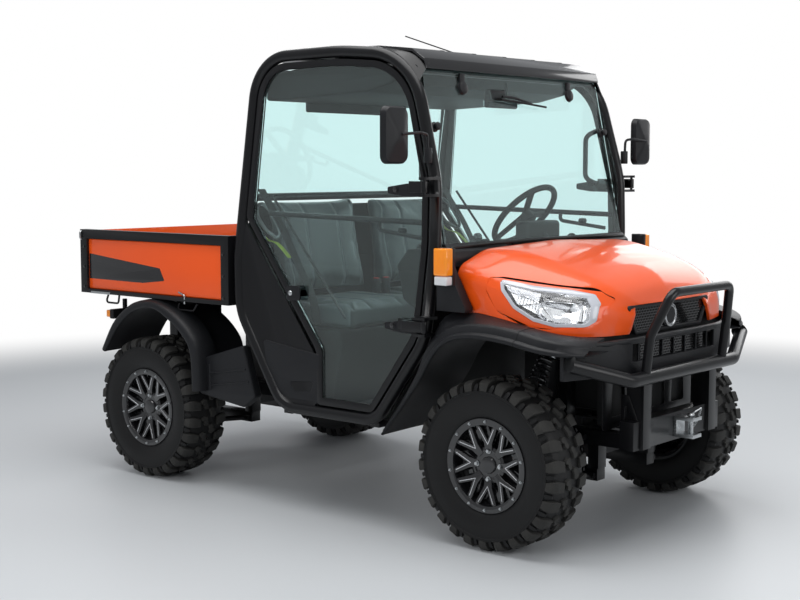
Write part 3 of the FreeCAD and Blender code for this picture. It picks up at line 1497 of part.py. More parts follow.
def cylinder_barrel(label):
    angle, stretch = cylinder_pose()
    length = (s.cylinder_eye_z - s.cylinder_foot_z) * stretch
    eye = rod(label + "_eye", s.cylinder_eye_radius, s.cylinder_eye_width,
              (0, -s.cylinder_eye_width / 2, 0), SIDEWAYS)
    neck = rod(label + "_neck", s.cylinder_eye_width * 0.45, s.cylinder_eye_radius,
               (0, 0, s.cylinder_eye_radius * 0.6))
    tube = rod(label + "_tube", s.cylinder_radius, length - s.cylinder_eye_radius * 3.6,
               (0, 0, s.cylinder_eye_radius * 1.2))
    bore = rod(label + "_bore", s.cylinder_rod_radius + s.run_gap, length, (0, 0, s.cylinder_eye_radius * 2))
    pin = rod(label + "_pin_bore", s.gate_pivot_radius + s.run_gap, s.cylinder_eye_width * 2,
              (0, -s.cylinder_eye_width, 0), SIDEWAYS)
    solid = cut(label, fused(label + "_solid", [eye, neck, tube]), fused(label + "_bores", [bore, pin]))
    return place(solid, -s.cylinder_foot_x, 0, s.cylinder_foot_z, axis=(0, 1, 0), angle=angle)


def cylinder_rod(label):
    angle, stretch = cylinder_pose()
    length = (s.cylinder_eye_z - s.cylinder_foot_z) * stretch
    foot = s.cylinder_eye_radius * 2 + s.overrun
    bar = rod(label + "_bar", s.cylinder_rod_radius, length - foot, (0, 0, foot))
    eye = rod(label + "_eye", s.cylinder_eye_radius, s.cylinder_eye_width,
              (0, -s.cylinder_eye_width / 2, length), SIDEWAYS)
    return place(fused(label, [bar, eye]), -s.cylinder_foot_x, 0, s.cylinder_foot_z, axis=(0, 1, 0),
                 angle=angle)


# Outside pieces

def mirrors(label):
    """The two door mirrors on bent arms from the front pillars."""
    half, tall = s.mirror_width / 2, s.mirror_height / 2
    corner = s.mirror_width * 0.2
    points = [(-half, -tall, corner), (half, -tall, corner), (half, tall, corner), (-half, tall, corner)]
    head = place(plate(label + "_head", "YZ_Plane", [points], s.mirror_depth), s.mirror_x, s.mirror_y,
                 s.mirror_z)
    low = s.mirror_z - tall * 0.65
    pillar = cab_point(0.976, 0.715)
    start = side_y(low) + s.hoop_radius + s.seat_gap
    arm = bent_tube(label + "_arm", [(pillar[0], start, low), (s.mirror_x, start + s.mirror_width * 0.7, low),
                                     (s.mirror_x, s.mirror_y,
                                      s.mirror_z)], s.mirror_arm_radius, s.mirror_arm_radius * 3)
    return both_sides(label, fused(label + "_left", [head, arm]))


def antenna(label):
    base_z = cab_point(0.5, 0.998 + 0.014)[1]
    foot = rod(label + "_foot", s.antenna_radius * 5, s.antenna_radius * 5,
               (s.antenna_x, s.antenna_y, base_z))
    mast = doc.addObject("Part::Feature", label + "_mast")
    start = Vector(s.antenna_x.value, s.antenna_y.value, base_z.value + s.antenna_radius.value * 3)
    mast.Shape = Part.makeCylinder(s.antenna_radius.value, s.antenna_length.value, start, Vector(-1, 0, 0.32))
    return fused(label, [foot, mast])


def build_parts():
    """Every sub-part, by the name of its file."""
    parts = {}
    form = tyre_form()
    for end, x in (("front", front_x), ("rear", rear_x)):
        for side, tag in SIDES:
            name = "tyre_%s_%s" % (end, tag)
            parts[name] = place(grouped(name, [form]), x, wheel_y * side, s.tyre_radius)
            parts["rim_%s_%s" % (end, tag)] = rim("rim_%s_%s" % (end, tag), x, wheel_y * side, side)
    parts["knuckle_left"] = carrier("knuckle_left", front_x, True)
    parts["knuckle_right"] = mirrored("knuckle_right", parts["knuckle_left"])
    rear_carrier = carrier("rear_carrier", rear_x, False)
    parts["front_axle"] = fused("front_axle", axle_parts("front_drive", front_x))
    parts["rear_axle"] = fused("rear_axle", axle_parts("rear_drive", rear_x))
    parts["front_suspension"] = suspension("front_suspension", front_x, 1)
    parts["rear_suspension"] = grouped("rear_suspension", [suspension("rear_arms", rear_x, -1),
                                                           both_sides("rear_carriers", rear_carrier)])
    parts["tie_rods"] = tie_rods("tie_rods")
    parts["chassis_frame"] = chassis_frame("chassis_frame")
    parts["engine_block"] = engine_block("engine_block")
    parts["cab_frame"] = cab_frame("cab_frame")
    parts["roof_panel"] = roof_panel("roof_panel")
    parts["windshield"] = windshield("windshield")
    parts["rear_window"] = rear_window("rear_window")
    parts["door_frame_left"] = door_frame("door_frame_left")
    parts["door_frame_right"] = mirrored("door_frame_right", parts["door_frame_left"])
    parts["door_glass_left"] = door_glass("door_glass_left")
    parts["door_glass_right"] = mirrored("door_glass_right", parts["door_glass_left"])
    parts["floor_pan"] = floor_pan("floor_pan")
    parts["seat_base"] = seat_base("seat_base")
    parts["seat_cushions"] = seat_pads("seat_cushions", CUSHION_SHARES, cushion_foot, s.cushion_height)
    parts["seat_backs"] = seat_pads("seat_backs", BACK_SHARES, back_foot, s.back_height)
    parts["dashboard"] = dashboard("dashboard")
    parts["steering_wheel"] = steering_wheel("steering_wheel")
    parts["hood_shell"], parts["headlamps"] = build_hood("hood_shell", "headlamps")
    parts["grille"] = grille("grille")
    parts["cowl"] = cowl("cowl")
    parts["front_fenders"] = front_fenders("front_fenders")
    parts["front_fascia"] = front_fascia("front_fascia")
    parts["signal_lamps"] = both_sides("signal_lamps", signal_lamps("signal_lamp_left"))
    parts["front_bumper"] = front_bumper("front_bumper")
    parts["tow_clevis"] = tow_clevis("tow_clevis")
    parts["rear_fenders"] = rear_fenders("rear_fenders")
    parts["cargo_bed"] = cargo_bed("cargo_bed")
    parts["bed_side_panels"] = bed_side_panels("bed_side_panels")
    parts["tailgate"] = tailgate("tailgate")
    parts["cylinder_barrel"] = cylinder_barrel("cylinder_barrel")
    parts["cylinder_rod"] = cylinder_rod("cylinder_rod")
    parts["mirrors"] = mirrors("mirrors")
    parts["antenna"] = antenna("antenna")
    return parts


def check(parts):
    """Stops if any object failed or any sub-part isn't a sound solid."""
    faults = [item.Label for item in doc.Objects if "Invalid" in item.State or "Error" in item.State]
    for name, item in parts.items():
        if item.Shape.isNull() or not item.Shape.isValid() or not item.Shape.Solids:
            faults.append(name)
    if faults:
        raise RuntimeError("no sound shape: " + ", ".join(faults))


def main():
    parts = build_parts()
    for name, item in parts.items():
        item.Label = name
    doc.recompute()
    check(parts)
    os.makedirs("parts", exist_ok=True)
    for name, item in parts.items():
        item.Shape.exportStep("parts/%s.step" % name)
    print("%d parts" % len(parts))


main()
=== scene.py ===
# %% [markdown]
# # A side by side utility vehicle, dressed for its portrait
# The imported model already holds every piece at its real place and size. Here each one gets its
# looks: rounded edges, lugs, lamps, glass, paint and cloth. We load the model first. Nothing
# that we add may stand outside it.

# %% Load the imported model
import json
import math
from contextlib import contextmanager

import bmesh
import bpy
from mathutils import Matrix, Vector
from mathutils.bvhtree import BVHTree


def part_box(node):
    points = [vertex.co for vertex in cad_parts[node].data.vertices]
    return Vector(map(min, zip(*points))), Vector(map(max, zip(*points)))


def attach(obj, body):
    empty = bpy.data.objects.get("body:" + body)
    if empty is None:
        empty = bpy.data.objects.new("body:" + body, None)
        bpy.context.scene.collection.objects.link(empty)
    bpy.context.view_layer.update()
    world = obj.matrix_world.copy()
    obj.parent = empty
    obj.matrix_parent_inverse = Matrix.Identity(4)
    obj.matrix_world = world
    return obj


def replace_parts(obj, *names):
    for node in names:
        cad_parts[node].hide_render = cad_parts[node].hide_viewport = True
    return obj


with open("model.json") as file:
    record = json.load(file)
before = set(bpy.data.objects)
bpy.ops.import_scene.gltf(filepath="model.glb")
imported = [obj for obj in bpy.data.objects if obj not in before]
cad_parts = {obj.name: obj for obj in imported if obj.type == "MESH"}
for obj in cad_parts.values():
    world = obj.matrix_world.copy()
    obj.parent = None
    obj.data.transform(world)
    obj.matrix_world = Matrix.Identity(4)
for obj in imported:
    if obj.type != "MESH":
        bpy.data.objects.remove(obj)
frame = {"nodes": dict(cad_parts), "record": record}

COLLECTION = bpy.context.scene.collection
BODY_OF = {node: body for body, nodes in frame["record"]["behaviour"]["bodies"].items() for node in nodes}
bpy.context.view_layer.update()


def short(values):
    """Numbers rounded for printing."""
    return [round(v, 3) for v in values]


# %% [markdown]
# ## Finishes
# A finish is a Principled BSDF whose colour drifts a little, whose gloss varies and whose surface
# has a fine grain. Two shader groups make these effects. They are built once, as a painter reuses
# a brush, and read Object coordinates, so they stay put when a part moves.

# %% The shader groups
def add(tree, kind, inputs=None, **settings):
    """Adds a node and returns its outputs; inputs are values or other outputs, by socket."""
    node = tree.nodes.new(kind)
    for key, value in settings.items():
        setattr(node, key, value)
    for key, value in (inputs or {}).items():
        if isinstance(value, bpy.types.NodeSocket):
            tree.links.new(value, node.inputs[key])
        else:
            node.inputs[key].default_value = value
    return node.outputs


def maths(tree, operation, a, b=0.0):
    return add(tree, "ShaderNodeMath", {0: a, 1: b}, operation=operation)["Value"]


def node_group(name, family, inputs, outputs):
    """A group with named sockets, and the outputs of its start node."""
    group = bpy.data.node_groups.new(name, family + "NodeTree")
    for way, sockets in (("INPUT", inputs), ("OUTPUT", outputs)):
        for label, kind in sockets.items():
            group.interface.new_socket(label, in_out=way, socket_type="NodeSocket" + kind)
    return group, add(group, "NodeGroupInput")


def noise(group, start, detail):
    sockets = {"Detail": detail, "Vector": start["Vector"], "Scale": start["Scale"]}
    return add(group, "ShaderNodeTexNoise", sockets)["Fac"]


def build_grain():
    """Fine bumps: moulding grain, orange peel or rubber skin, by scale."""
    group, start = node_group("surface_grain", "Shader",
                              {"Vector": "Vector", "Scale": "Float", "Depth": "Float"}, {"Normal": "Vector"})
    bump = add(group, "ShaderNodeBump",
               {"Distance": 0.001, "Strength": start["Depth"], "Height": noise(group, start, 3.0)})
    add(group, "NodeGroupOutput", {"Normal": bump["Normal"]})
    return group


def build_drift():
    """A slow change between two colours over a surface."""
    group, start = node_group("colour_drift", "Shader",
                              {"Vector": "Vector", "Scale": "Float", "Color": "Color", "Other": "Color"},
                              {"Color": "Color", "Mask": "Float"})
    mask = noise(group, start, 4.0)
    mix = add(group, "ShaderNodeMix", {"Factor": mask, "A": start["Color"], "B": start["Other"]},
              data_type="RGBA")
    add(group, "NodeGroupOutput", {"Color": mix["Result"], "Mask": mask})
    return group


GRAIN = build_grain()
DRIFT = build_drift()


def principled(name, **sockets):
    """A new material, its tree and its shader, whose sockets are set by name."""
    material = bpy.data.materials.new(name)
    material.use_nodes = True
    shader = material.node_tree.nodes["Principled BSDF"]
    for label, value in sockets.items():
        shader.inputs[label.replace("_", " ")].default_value = value
    return material, material.node_tree, shader


def finish(name, color, other, roughness, spread=0.06, grain=400.0, depth=0.1, drift=6.0, **sockets):
    """A material from the two groups; sockets are further Principled values, by name."""
    material, tree, shader = principled(name, **sockets)
    spot = add(tree, "ShaderNodeTexCoord")["Object"]
    tint = add(tree, "ShaderNodeGroup", {"Vector": spot, "Scale": drift, "Color": (*color, 1.0),
                                         "Other": (*other, 1.0)}, node_tree=DRIFT)
    bumps = add(tree, "ShaderNodeGroup", {"Vector": spot, "Scale": grain, "Depth": depth}, node_tree=GRAIN)
    gloss = add(tree, "ShaderNodeMapRange", {"Value": tint["Mask"], "To Min": max(roughness - spread, 0.02),
                                             "To Max": roughness + spread})
    for label, source in (("Base Color", tint["Color"]), ("Roughness", gloss["Result"]),
                          ("Normal", bumps["Normal"])):
        tree.links.new(source, shader.inputs[label])
    return material


def glass(name, tint):
    """See-through sheet: plain transmission, with the tint on the shader's own socket."""
    return principled(name, Base_Color=(*tint, 1.0), Roughness=0.01, Transmission_Weight=1.0, IOR=1.45)[0]


# %% The paints, plastics, metals and rubber of this vehicle
ORANGE = finish("orange_paint", (0.91, 0.100, 0.006), (0.86, 0.088, 0.005), 0.34, 0.04, 900.0, 0.02,
                Coat_Weight=0.55, Coat_Roughness=0.06, Specular_IOR_Level=0.35)
TUBE_BLACK = finish("powder_black", (0.0045, 0.0046, 0.0055), (0.007, 0.0071, 0.008), 0.3, 0.05, 1400.0,
                    0.06, Coat_Weight=0.2, Coat_Roughness=0.2, Specular_IOR_Level=0.25)
GLOSS_BLACK = finish("gloss_black", (0.008, 0.008, 0.009), (0.012, 0.012, 0.013), 0.16, 0.03, 900.0, 0.02,
                     Coat_Weight=0.6, Coat_Roughness=0.06)
MOULDED = finish("moulded_black", (0.0085, 0.009, 0.0105), (0.013, 0.0135, 0.0155), 0.44, 0.07, 1800.0, 0.2,
                 Specular_IOR_Level=0.28)
CAB_PLASTIC = finish("cab_plastic", (0.006, 0.0065, 0.007), (0.010, 0.0105, 0.011), 0.6, 0.06, 1300.0, 0.08,
                     Specular_IOR_Level=0.25)
RUBBER = finish("tyre_rubber", (0.0065, 0.0065, 0.007), (0.012, 0.012, 0.012), 0.5, 0.1, 700.0, 0.2, 9.0,
                Specular_IOR_Level=0.25)
TREAD = finish("tread_rubber", (0.014, 0.0138, 0.0135), (0.045, 0.044, 0.041), 0.72, 0.08, 500.0, 0.3, 14.0,
               Specular_IOR_Level=0.3)
RIM_BLACK = finish("rim_black", (0.006, 0.006, 0.007), (0.010, 0.010, 0.011), 0.14, 0.03, 900.0, 0.02,
                   Coat_Weight=0.8, Coat_Roughness=0.05)
MILLED = finish("milled_edge", (0.78, 0.78, 0.79), (0.68, 0.68, 0.70), 0.24, 0.06, 2200.0, 0.1, Metallic=1.0)
ZINC = finish("zinc_plate", (0.62, 0.64, 0.65), (0.50, 0.52, 0.53), 0.3, 0.1, 260.0, 0.08, 30.0,
              Metallic=1.0)
CHROME = finish("lamp_chrome", (0.86, 0.87, 0.88), (0.80, 0.81, 0.83), 0.08, 0.03, 300.0, 0.01, Metallic=1.0)
FROSTED = finish("frosted_band", (0.62, 0.64, 0.68), (0.52, 0.54, 0.60), 0.22, 0.05, 900.0, 0.02,
                 Coat_Weight=0.8, Coat_Roughness=0.05)
LAMP_SILVER = finish("lamp_silver", (0.80, 0.81, 0.84), (0.72, 0.73, 0.77), 0.24, 0.06, 300.0, 0.05,
                     Metallic=0.85)
CASTING = finish("grey_casting", (0.055, 0.056, 0.058), (0.085, 0.085, 0.086), 0.6, 0.1, 260.0, 0.35,
                 Metallic=0.5)
SILVER = finish("silver_badge", (0.55, 0.56, 0.58), (0.48, 0.49, 0.50), 0.25, 0.05, 900.0, 0.03,
                Metallic=0.9)
VINYL = finish("seat_vinyl", (0.050, 0.058, 0.062), (0.078, 0.088, 0.092), 0.36, 0.08, 1100.0, 0.5,
               Sheen_Weight=0.1)
VINYL_EDGE = finish("seat_welt", (0.16, 0.17, 0.175), (0.20, 0.21, 0.215), 0.5, 0.06, 1100.0, 0.4)
WEBBING = finish("belt_webbing", (0.012, 0.012, 0.013), (0.02, 0.02, 0.021), 0.7, 0.05, 2600.0, 0.6)
RED_BUTTON = finish("red_button", (0.62, 0.02, 0.015), (0.5, 0.015, 0.01), 0.35, 0.05)
TAG_GREEN = finish("tag_green", (0.5, 0.62, 0.08), (0.42, 0.55, 0.06), 0.5, 0.05)
DIAL_WHITE = finish("dial_white", (0.7, 0.72, 0.74), (0.62, 0.64, 0.66), 0.4, 0.04)
AMBER = finish("amber_lens", (0.95, 0.30, 0.008), (0.85, 0.24, 0.006), 0.16, 0.04, 300.0, 0.15,
               Coat_Weight=0.8, Emission_Color=(0.9, 0.28, 0.01, 1.0), Emission_Strength=0.12)
WHITE_LENS = finish("white_lens", (0.78, 0.79, 0.80), (0.68, 0.69, 0.71), 0.16, 0.04, 300.0, 0.15,
                    Coat_Weight=0.8)
RED_LENS = finish("red_lens", (0.55, 0.012, 0.008), (0.45, 0.01, 0.006), 0.16, 0.04, Coat_Weight=0.8)
MIRROR_GLASS = finish("mirror_glass", (0.78, 0.80, 0.82), (0.74, 0.76, 0.78), 0.03, 0.01, depth=0.0,
                      Metallic=1.0)
CAB_GLASS = glass("cab_glass", (0.80, 0.955, 0.95))
LAMP_GLASS = glass("lamp_cover", (0.97, 0.98, 0.99))
print("finishes", len(bpy.data.materials))

# %% [markdown]
# ## Making pieces
# Every piece ends as one mesh whose object sits at the origin, with its place in its vertices.
# These helpers cover the ways a maker shapes parts: a copy of the solid with broken edges, a bent
# tube, a cut plate, a turned part and a lofted skin. Each takes its finish, called look, first.

# %% Helpers for meshes and pieces
def placed(name, data):
    """An object for a mesh, curve, lamp or camera, linked to the scene."""
    item = bpy.data.objects.new(name, data)
    COLLECTION.objects.link(item)
    return item


def baked(holder):
    """The plain mesh that an object's curve or modifiers give; the object goes."""
    bpy.context.view_layer.update()
    graph = bpy.context.evaluated_depsgraph_get()
    mesh = bpy.data.meshes.new_from_object(holder.evaluated_get(graph))
    bpy.data.objects.remove(holder)
    return mesh


@contextmanager
def edited(mesh):
    """Opens a mesh for editing and writes the result back."""
    form = bmesh.new()
    form.from_mesh(mesh)
    yield form
    form.to_mesh(mesh)
    form.free()


def painted(look, mesh):
    mesh.materials.clear()
    mesh.materials.append(look)
    return mesh


def mesh_from(look, points, faces):
    mesh = bpy.data.meshes.new("part")
    mesh.from_pydata([tuple(p) for p in points], [], faces)
    mesh.update()
    return painted(look, mesh)


def tidied(mesh, merge=1e-5, normals=True):
    """Merges doubles and turns the faces outwards."""
    with edited(mesh) as form:
        bmesh.ops.remove_doubles(form, verts=form.verts, dist=merge)
        if normals:
            bmesh.ops.recalc_face_normals(form, faces=form.faces)
    return mesh


def faced(mesh, side):
    """Turns a shell's faces so that they look outwards on their side."""
    if side * sum(p.normal.y * p.area for p in mesh.polygons) < 0:
        mesh.flip_normals()
    return mesh


def joined(name, meshes):
    """One mesh out of several, keeping each one's finishes."""
    form = bmesh.new()
    looks = []
    for mesh in meshes:
        start = len(form.faces)
        form.from_mesh(mesh)
        form.faces.ensure_lookup_table()
        looks += [look for look in mesh.materials if look not in looks]
        for face in form.faces[start:]:
            face.material_index = looks.index(mesh.materials[face.material_index])
    mesh = bpy.data.meshes.new(name)
    form.to_mesh(mesh)
    form.free()
    for look in looks:
        mesh.materials.append(look)
    return mesh


def turned_over(mesh):
    """The mirror image on the vehicle's other side, with its faces still outwards."""
    other = mesh.copy()
    other.transform(Matrix.Scale(-1.0, 4, (0, 1, 0)))
    other.flip_normals()
    return other


def both_sides(meshes):
    """One side's meshes with their mirror images."""
    return meshes + [turned_over(mesh) for mesh in meshes]


def piece(name, meshes, body, smooth=35.0):
    """Joins meshes into a finished piece that rides on a body."""
    mesh = joined(name, meshes)
    item = placed(name, mesh)
    mesh.polygons.foreach_set("use_smooth", [True] * len(mesh.polygons))
    mesh.set_sharp_from_angle(angle=math.radians(smooth))
    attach(item, body)
    return item


def stand_for(node, meshes, smooth=35.0):
    """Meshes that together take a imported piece's place."""
    item = piece(node + "_dressed", meshes, BODY_OF[node], smooth)
    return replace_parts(item, node)


def solid_copy(look, node, bevel=0.0, angle=30.0, segments=2):
    """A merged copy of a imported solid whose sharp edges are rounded."""
    mesh = frame["nodes"][node].data.copy()
    with edited(mesh) as form:
        bmesh.ops.remove_doubles(form, verts=form.verts, dist=2e-5)
        bmesh.ops.dissolve_limit(form, angle_limit=math.radians(0.6), verts=form.verts, edges=form.edges)
    if bevel:
        with edited(mesh) as form:
            turn = math.radians(angle)
            sharp = [e for e in form.edges if e.is_manifold and e.calc_face_angle(0.0) > turn]
            bmesh.ops.bevel(form, geom=sharp, offset=bevel, segments=segments, profile=0.6, affect="EDGES",
                            clamp_overlap=True)
    return painted(look, mesh)


def dress(node, look, bevel=0.0, extra=(), angle=30.0):
    """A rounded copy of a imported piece, with any further meshes, in its place."""
    return stand_for(node, [solid_copy(look, node, bevel, angle), *extra])


def modified(mesh, kind, **settings):
    """Applies one modifier and returns the plain mesh."""
    holder = placed("holder", mesh)
    modifier = holder.modifiers.new(kind.lower(), kind)
    for key, value in settings.items():
        setattr(modifier, key, value)
    return baked(holder)


def triangles(mesh):
    return sum(len(p.vertices) - 2 for p in mesh.polygons)


# %% Helpers for paths and outlines
def rounded(points, bend, closed=False, steps=8):
    """A path whose corners are arcs of one bend radius."""
    spots = [Vector(p) for p in points]
    count = len(spots)
    path = [] if closed else [spots[0]]
    for i in range(count) if closed else range(1, count - 1):
        corner = spots[i]
        back = spots[i - 1] - corner
        ahead = spots[(i + 1) % count] - corner
        reach_most = min(back.length, ahead.length) * 0.499
        back, ahead = back.normalized(), ahead.normalized()
        half = (math.pi - back.angle(ahead)) / 2
        if half < 0.01 or bend <= 0:
            path.append(corner)
            continue
        radius = min(bend, reach_most / math.tan(half))
        middle = corner + (back + ahead).normalized() * (radius / math.cos(half))
        start = corner + back * radius * math.tan(half) - middle
        end = corner + ahead * radius * math.tan(half) - middle
        path += [middle + swung(start, end, step / steps) for step in range(steps + 1)]
    return path if closed else path + [spots[-1]]


def swung(start, end, share):
    """A radius turned part of the way from one direction to another."""
    angle = start.angle(end)
    if angle < 1e-6:
        return start.copy()
    return (start * math.sin((1 - share) * angle) + end * math.sin(share * angle)) / math.sin(angle)


def flowing(points, steps=5):
    """A smooth path through points of any size: each stretch is a Catmull-Rom curve."""
    spots = [tuple(p) for p in points]
    ends = [spots[0], *spots, spots[-1]]
    path = []
    for i in range(len(spots) - 1):
        for t in (step / steps for step in range(steps)):
            path.append(tuple(0.5 * (2 * b + (c - a) * t + (2 * a - 5 * b + 4 * c - d) * t ** 2
                                     + (3 * b - a - 3 * c + d) * t ** 3)
                              for a, b, c, d in zip(*ends[i:i + 4])))
    return path + [spots[-1]]


def circle(radius, sides=20):
    angles = (2 * math.pi * i / sides for i in range(sides))
    return [(radius * math.cos(angle), radius * math.sin(angle)) for angle in angles]


def round_loop(points, steps=6):
    """A flat outline from (across, up) or (across, up, radius) corners."""
    flat = []
    for i, (across, up, *bend) in enumerate(points):
        if not bend:
            flat.append((across, up))
            continue
        ends = [(*points[i - 1][:2], 0), (across, up, 0), (*points[(i + 1) % len(points)][:2], 0)]
        flat += [(p.x, p.y) for p in rounded(ends, bend[0], steps=steps)[1:-1]]
    return flat


def quads(rows, across, ring=True, closed=False):
    """Faces between neighbouring rows of points; each row, and the set of rows, may close."""
    faces = []
    for i in range(rows if closed else rows - 1):
        here, there = i * across, (i + 1) % rows * across
        for k in range(across if ring else across - 1):
            m = (k + 1) % across
            faces.append((here + k, here + m, there + m, there + k))
    return faces


# %% Helpers that shape one part
def skin(look, rows, closed=False):
    """A surface through rows of points."""
    return mesh_from(look, [p for row in rows for p in row], quads(len(rows), len(rows[0]), closed))


def swept(look, path, outline, closed=False):
    """A section carried along a path; outline is a closed list of (across, up) places."""
    count = len(path)
    points = []
    side = None
    for i, spot in enumerate(path):
        before = path[i - 1] if (i or closed) else spot
        after = path[(i + 1) % count] if (i < count - 1 or closed) else spot
        way = (after - before).normalized()
        if side is None:
            side = way.cross(Vector((0, 0, 1)))
            side = side.normalized() if side.length > 1e-3 else Vector((0, 1, 0))
        side = (side - way * side.dot(way)).normalized()
        up = side.cross(way)
        points += [spot + side * a + up * b for a, b in outline]
    size = len(outline)
    faces = quads(count, size, True, closed)
    if not closed:
        faces += [tuple(range(size)), tuple(reversed(range((count - 1) * size, count * size)))]
    return tidied(mesh_from(look, points, faces))


def tube(look, points, radius, bend=0.0, closed=False, sides=20):
    return swept(look, rounded(points, bend, closed), circle(radius, sides), closed)


STAND = {"XZ": Matrix.Rotation(math.pi / 2, 4, "X"), "XY": Matrix.Identity(4),
         "YZ": Matrix(((0, 0, 1, 0), (1, 0, 0, 0), (0, 1, 0, 0), (0, 0, 0, 1)))}


def panel(look, loops, thickness, bevel, at=0.0, plane="XZ", segments=2):
    """A plate from flat outlines (the first, less the others), with rounded edges."""
    curve = bpy.data.curves.new("panel", "CURVE")
    curve.dimensions = "2D"
    curve.fill_mode = "BOTH"
    curve.extrude = max(thickness / 2 - bevel, 0.0)
    curve.bevel_depth = bevel
    curve.bevel_resolution = segments
    curve.offset = -bevel
    for loop in map(round_loop, loops):
        spline = curve.splines.new("POLY")
        spline.points.add(len(loop) - 1)
        for place, (across, up) in zip(spline.points, loop):
            place.co = (across, up, 0, 1)
        spline.use_cyclic_u = True
    mesh = baked(placed("panel", curve))
    offset = {"XZ": (0, at, 0), "XY": (0, 0, at), "YZ": (at, 0, 0)}[plane]
    mesh.transform(Matrix.Translation(offset) @ STAND[plane])
    return painted(look, tidied(mesh))


def block(look, low, high, bevel=0.003, segments=2):
    """A rectangular part with broken edges."""
    form = bmesh.new()
    bmesh.ops.create_cube(form, size=1.0)
    for vert in form.verts:
        vert.co = Vector([l + (h - l) * (c + 0.5) for l, h, c in zip(Vector(low), Vector(high), vert.co)])
    if bevel:
        bmesh.ops.bevel(form, geom=form.edges, offset=bevel, segments=segments, profile=0.5, affect="EDGES")
    mesh = bpy.data.meshes.new("block")
    form.to_mesh(mesh)
    form.free()
    return painted(look, mesh)


def block_at(look, at, low, high, bevel=0.003, segments=2):
    """A block given by its corners seen from a place."""
    return block(look, at + Vector(low), at + Vector(high), bevel, segments)


def turned(look, profile, way="Y", at=(0, 0, 0), steps=64):
    """A turned part; profile is (radius, along), closed on the axis or on itself."""
    order = {"Y": (0, 2, 1), "Z": (0, 1, 2), "X": (2, 0, 1)}[way]
    points = []
    for step in range(steps):
        angle = 2 * math.pi * step / steps
        for radius, along in profile:
            spot = (radius * math.cos(angle), radius * math.sin(angle), along)
            points.append([spot[k] for k in order])
    mesh = tidied(mesh_from(look, points, quads(steps, len(profile), False, True)), 1e-6)
    mesh.transform(Matrix.Translation(at))
    return mesh


def tilted(mesh, way, at, start=(0, 0, 1)):
    """A part turned from one direction to another, then put in its place."""
    mesh.transform(Vector(start).rotation_difference(Vector(way)).to_matrix().to_4x4())
    mesh.transform(Matrix.Translation(at))
    return mesh


def ray_tree(*meshes):
    """Meshes as a tree for casting rays on."""
    form = bmesh.new()
    for mesh in meshes:
        form.from_mesh(mesh)
    tree = BVHTree.FromBMesh(form)
    form.free()
    return tree


CAST_ON = {}


def surface(node, start, way):
    """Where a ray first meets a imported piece, or None."""
    if node not in CAST_ON:
        CAST_ON[node] = ray_tree(frame["nodes"][node].data)
    return CAST_ON[node].ray_cast(Vector(start), Vector(way))[0]


print("helpers ready")

# %% [markdown]
# ## The camera, the floor and the light
# The photograph was taken from the front right, at chest height. The camera's place, aim and lens
# were worked out from the wheels, whose size is known. The floor and backdrop look white to the
# camera but give no light, so the softboxes alone model the shapes.

# %% Camera
def aimed(item, place, aim):
    """Puts a camera or lamp at a place, looking at another."""
    item.location = place
    item.rotation_euler = (Vector(aim) - Vector(place)).to_track_quat("-Z", "Y").to_euler()
    return item


camera_data = bpy.data.cameras.new("camera")
camera_data.lens = 61.65
camera_data.sensor_width = 36.0
camera = aimed(placed("camera", camera_data), (4.1402, -4.9597, 1.4925), (0.2903, -0.4016, 0.9155))
bpy.context.scene.camera = camera
bpy.context.scene.view_settings.view_transform = "Standard"
print("camera", short(camera.location))

# %% Floor, world and softboxes
MIRRORED_SHARE = 0.16
FLOOR_HALF = 40
FADE_START, FADE_END = 4.2, 6.6


def backdrop_rays(tree):
    """One for rays that reach the camera plainly or through glass, less for mirrored ones."""
    rays = add(tree, "ShaderNodeLightPath")
    value = maths(tree, "MULTIPLY", rays["Is Glossy Ray"], MIRRORED_SHARE)
    for label in ("Is Camera Ray", "Is Transmission Ray"):
        value = maths(tree, "MAXIMUM", value, rays[label])
    return value


def show_blend(tree, share, first, second, end):
    """Mixes two shaders by a share and shows the result."""
    blend = add(tree, "ShaderNodeMixShader", {"Fac": share, 1: first, 2: second})
    tree.links.new(blend["Shader"], tree.nodes[end].inputs["Surface"])


def floor_finish():
    """Pale grey floor that fades to the white backdrop a few metres from the middle."""
    material, tree, shader = principled("studio_floor", Base_Color=(0.60, 0.62, 0.635, 1), Roughness=0.42,
                                        Specular_IOR_Level=0.3)
    spot = add(tree, "ShaderNodeTexCoord")["Object"]
    reach = add(tree, "ShaderNodeVectorMath", {0: spot}, operation="LENGTH")["Value"]
    fade = add(tree, "ShaderNodeMapRange", {"Value": reach, "From Min": FADE_START, "From Max": FADE_END},
               interpolation_type="SMOOTHSTEP")["Result"]
    share = maths(tree, "MULTIPLY", backdrop_rays(tree), fade)
    show_blend(tree, share, shader.outputs["BSDF"], add(tree, "ShaderNodeEmission")["Emission"],
               "Material Output")
    return material


floor_corners = [(x * FLOOR_HALF, y * FLOOR_HALF, 0) for x, y in ((-1, -1), (1, -1), (1, 1), (-1, 1))]
floor = placed("studio_floor", mesh_from(floor_finish(), floor_corners, [(0, 1, 2, 3)]))

world = bpy.data.worlds.new("studio")
bpy.context.scene.world = world
world.use_nodes = True
shown = add(world.node_tree, "ShaderNodeBackground", {"Color": (1.0, 1.0, 1.0, 1)})["Background"]
lit = world.node_tree.nodes["Background"]
lit.inputs["Color"].default_value = (0.80, 0.84, 0.90, 1)
lit.inputs["Strength"].default_value = 0.30
show_blend(world.node_tree, backdrop_rays(world.node_tree), lit.outputs["Background"], shown, "World Output")


def softbox(name, place, aim, size, power):
    data = bpy.data.lights.new(name, "AREA")
    data.shape = "RECTANGLE"
    data.size, data.size_y = size
    data.energy = power
    return aimed(placed(name, data), place, aim)


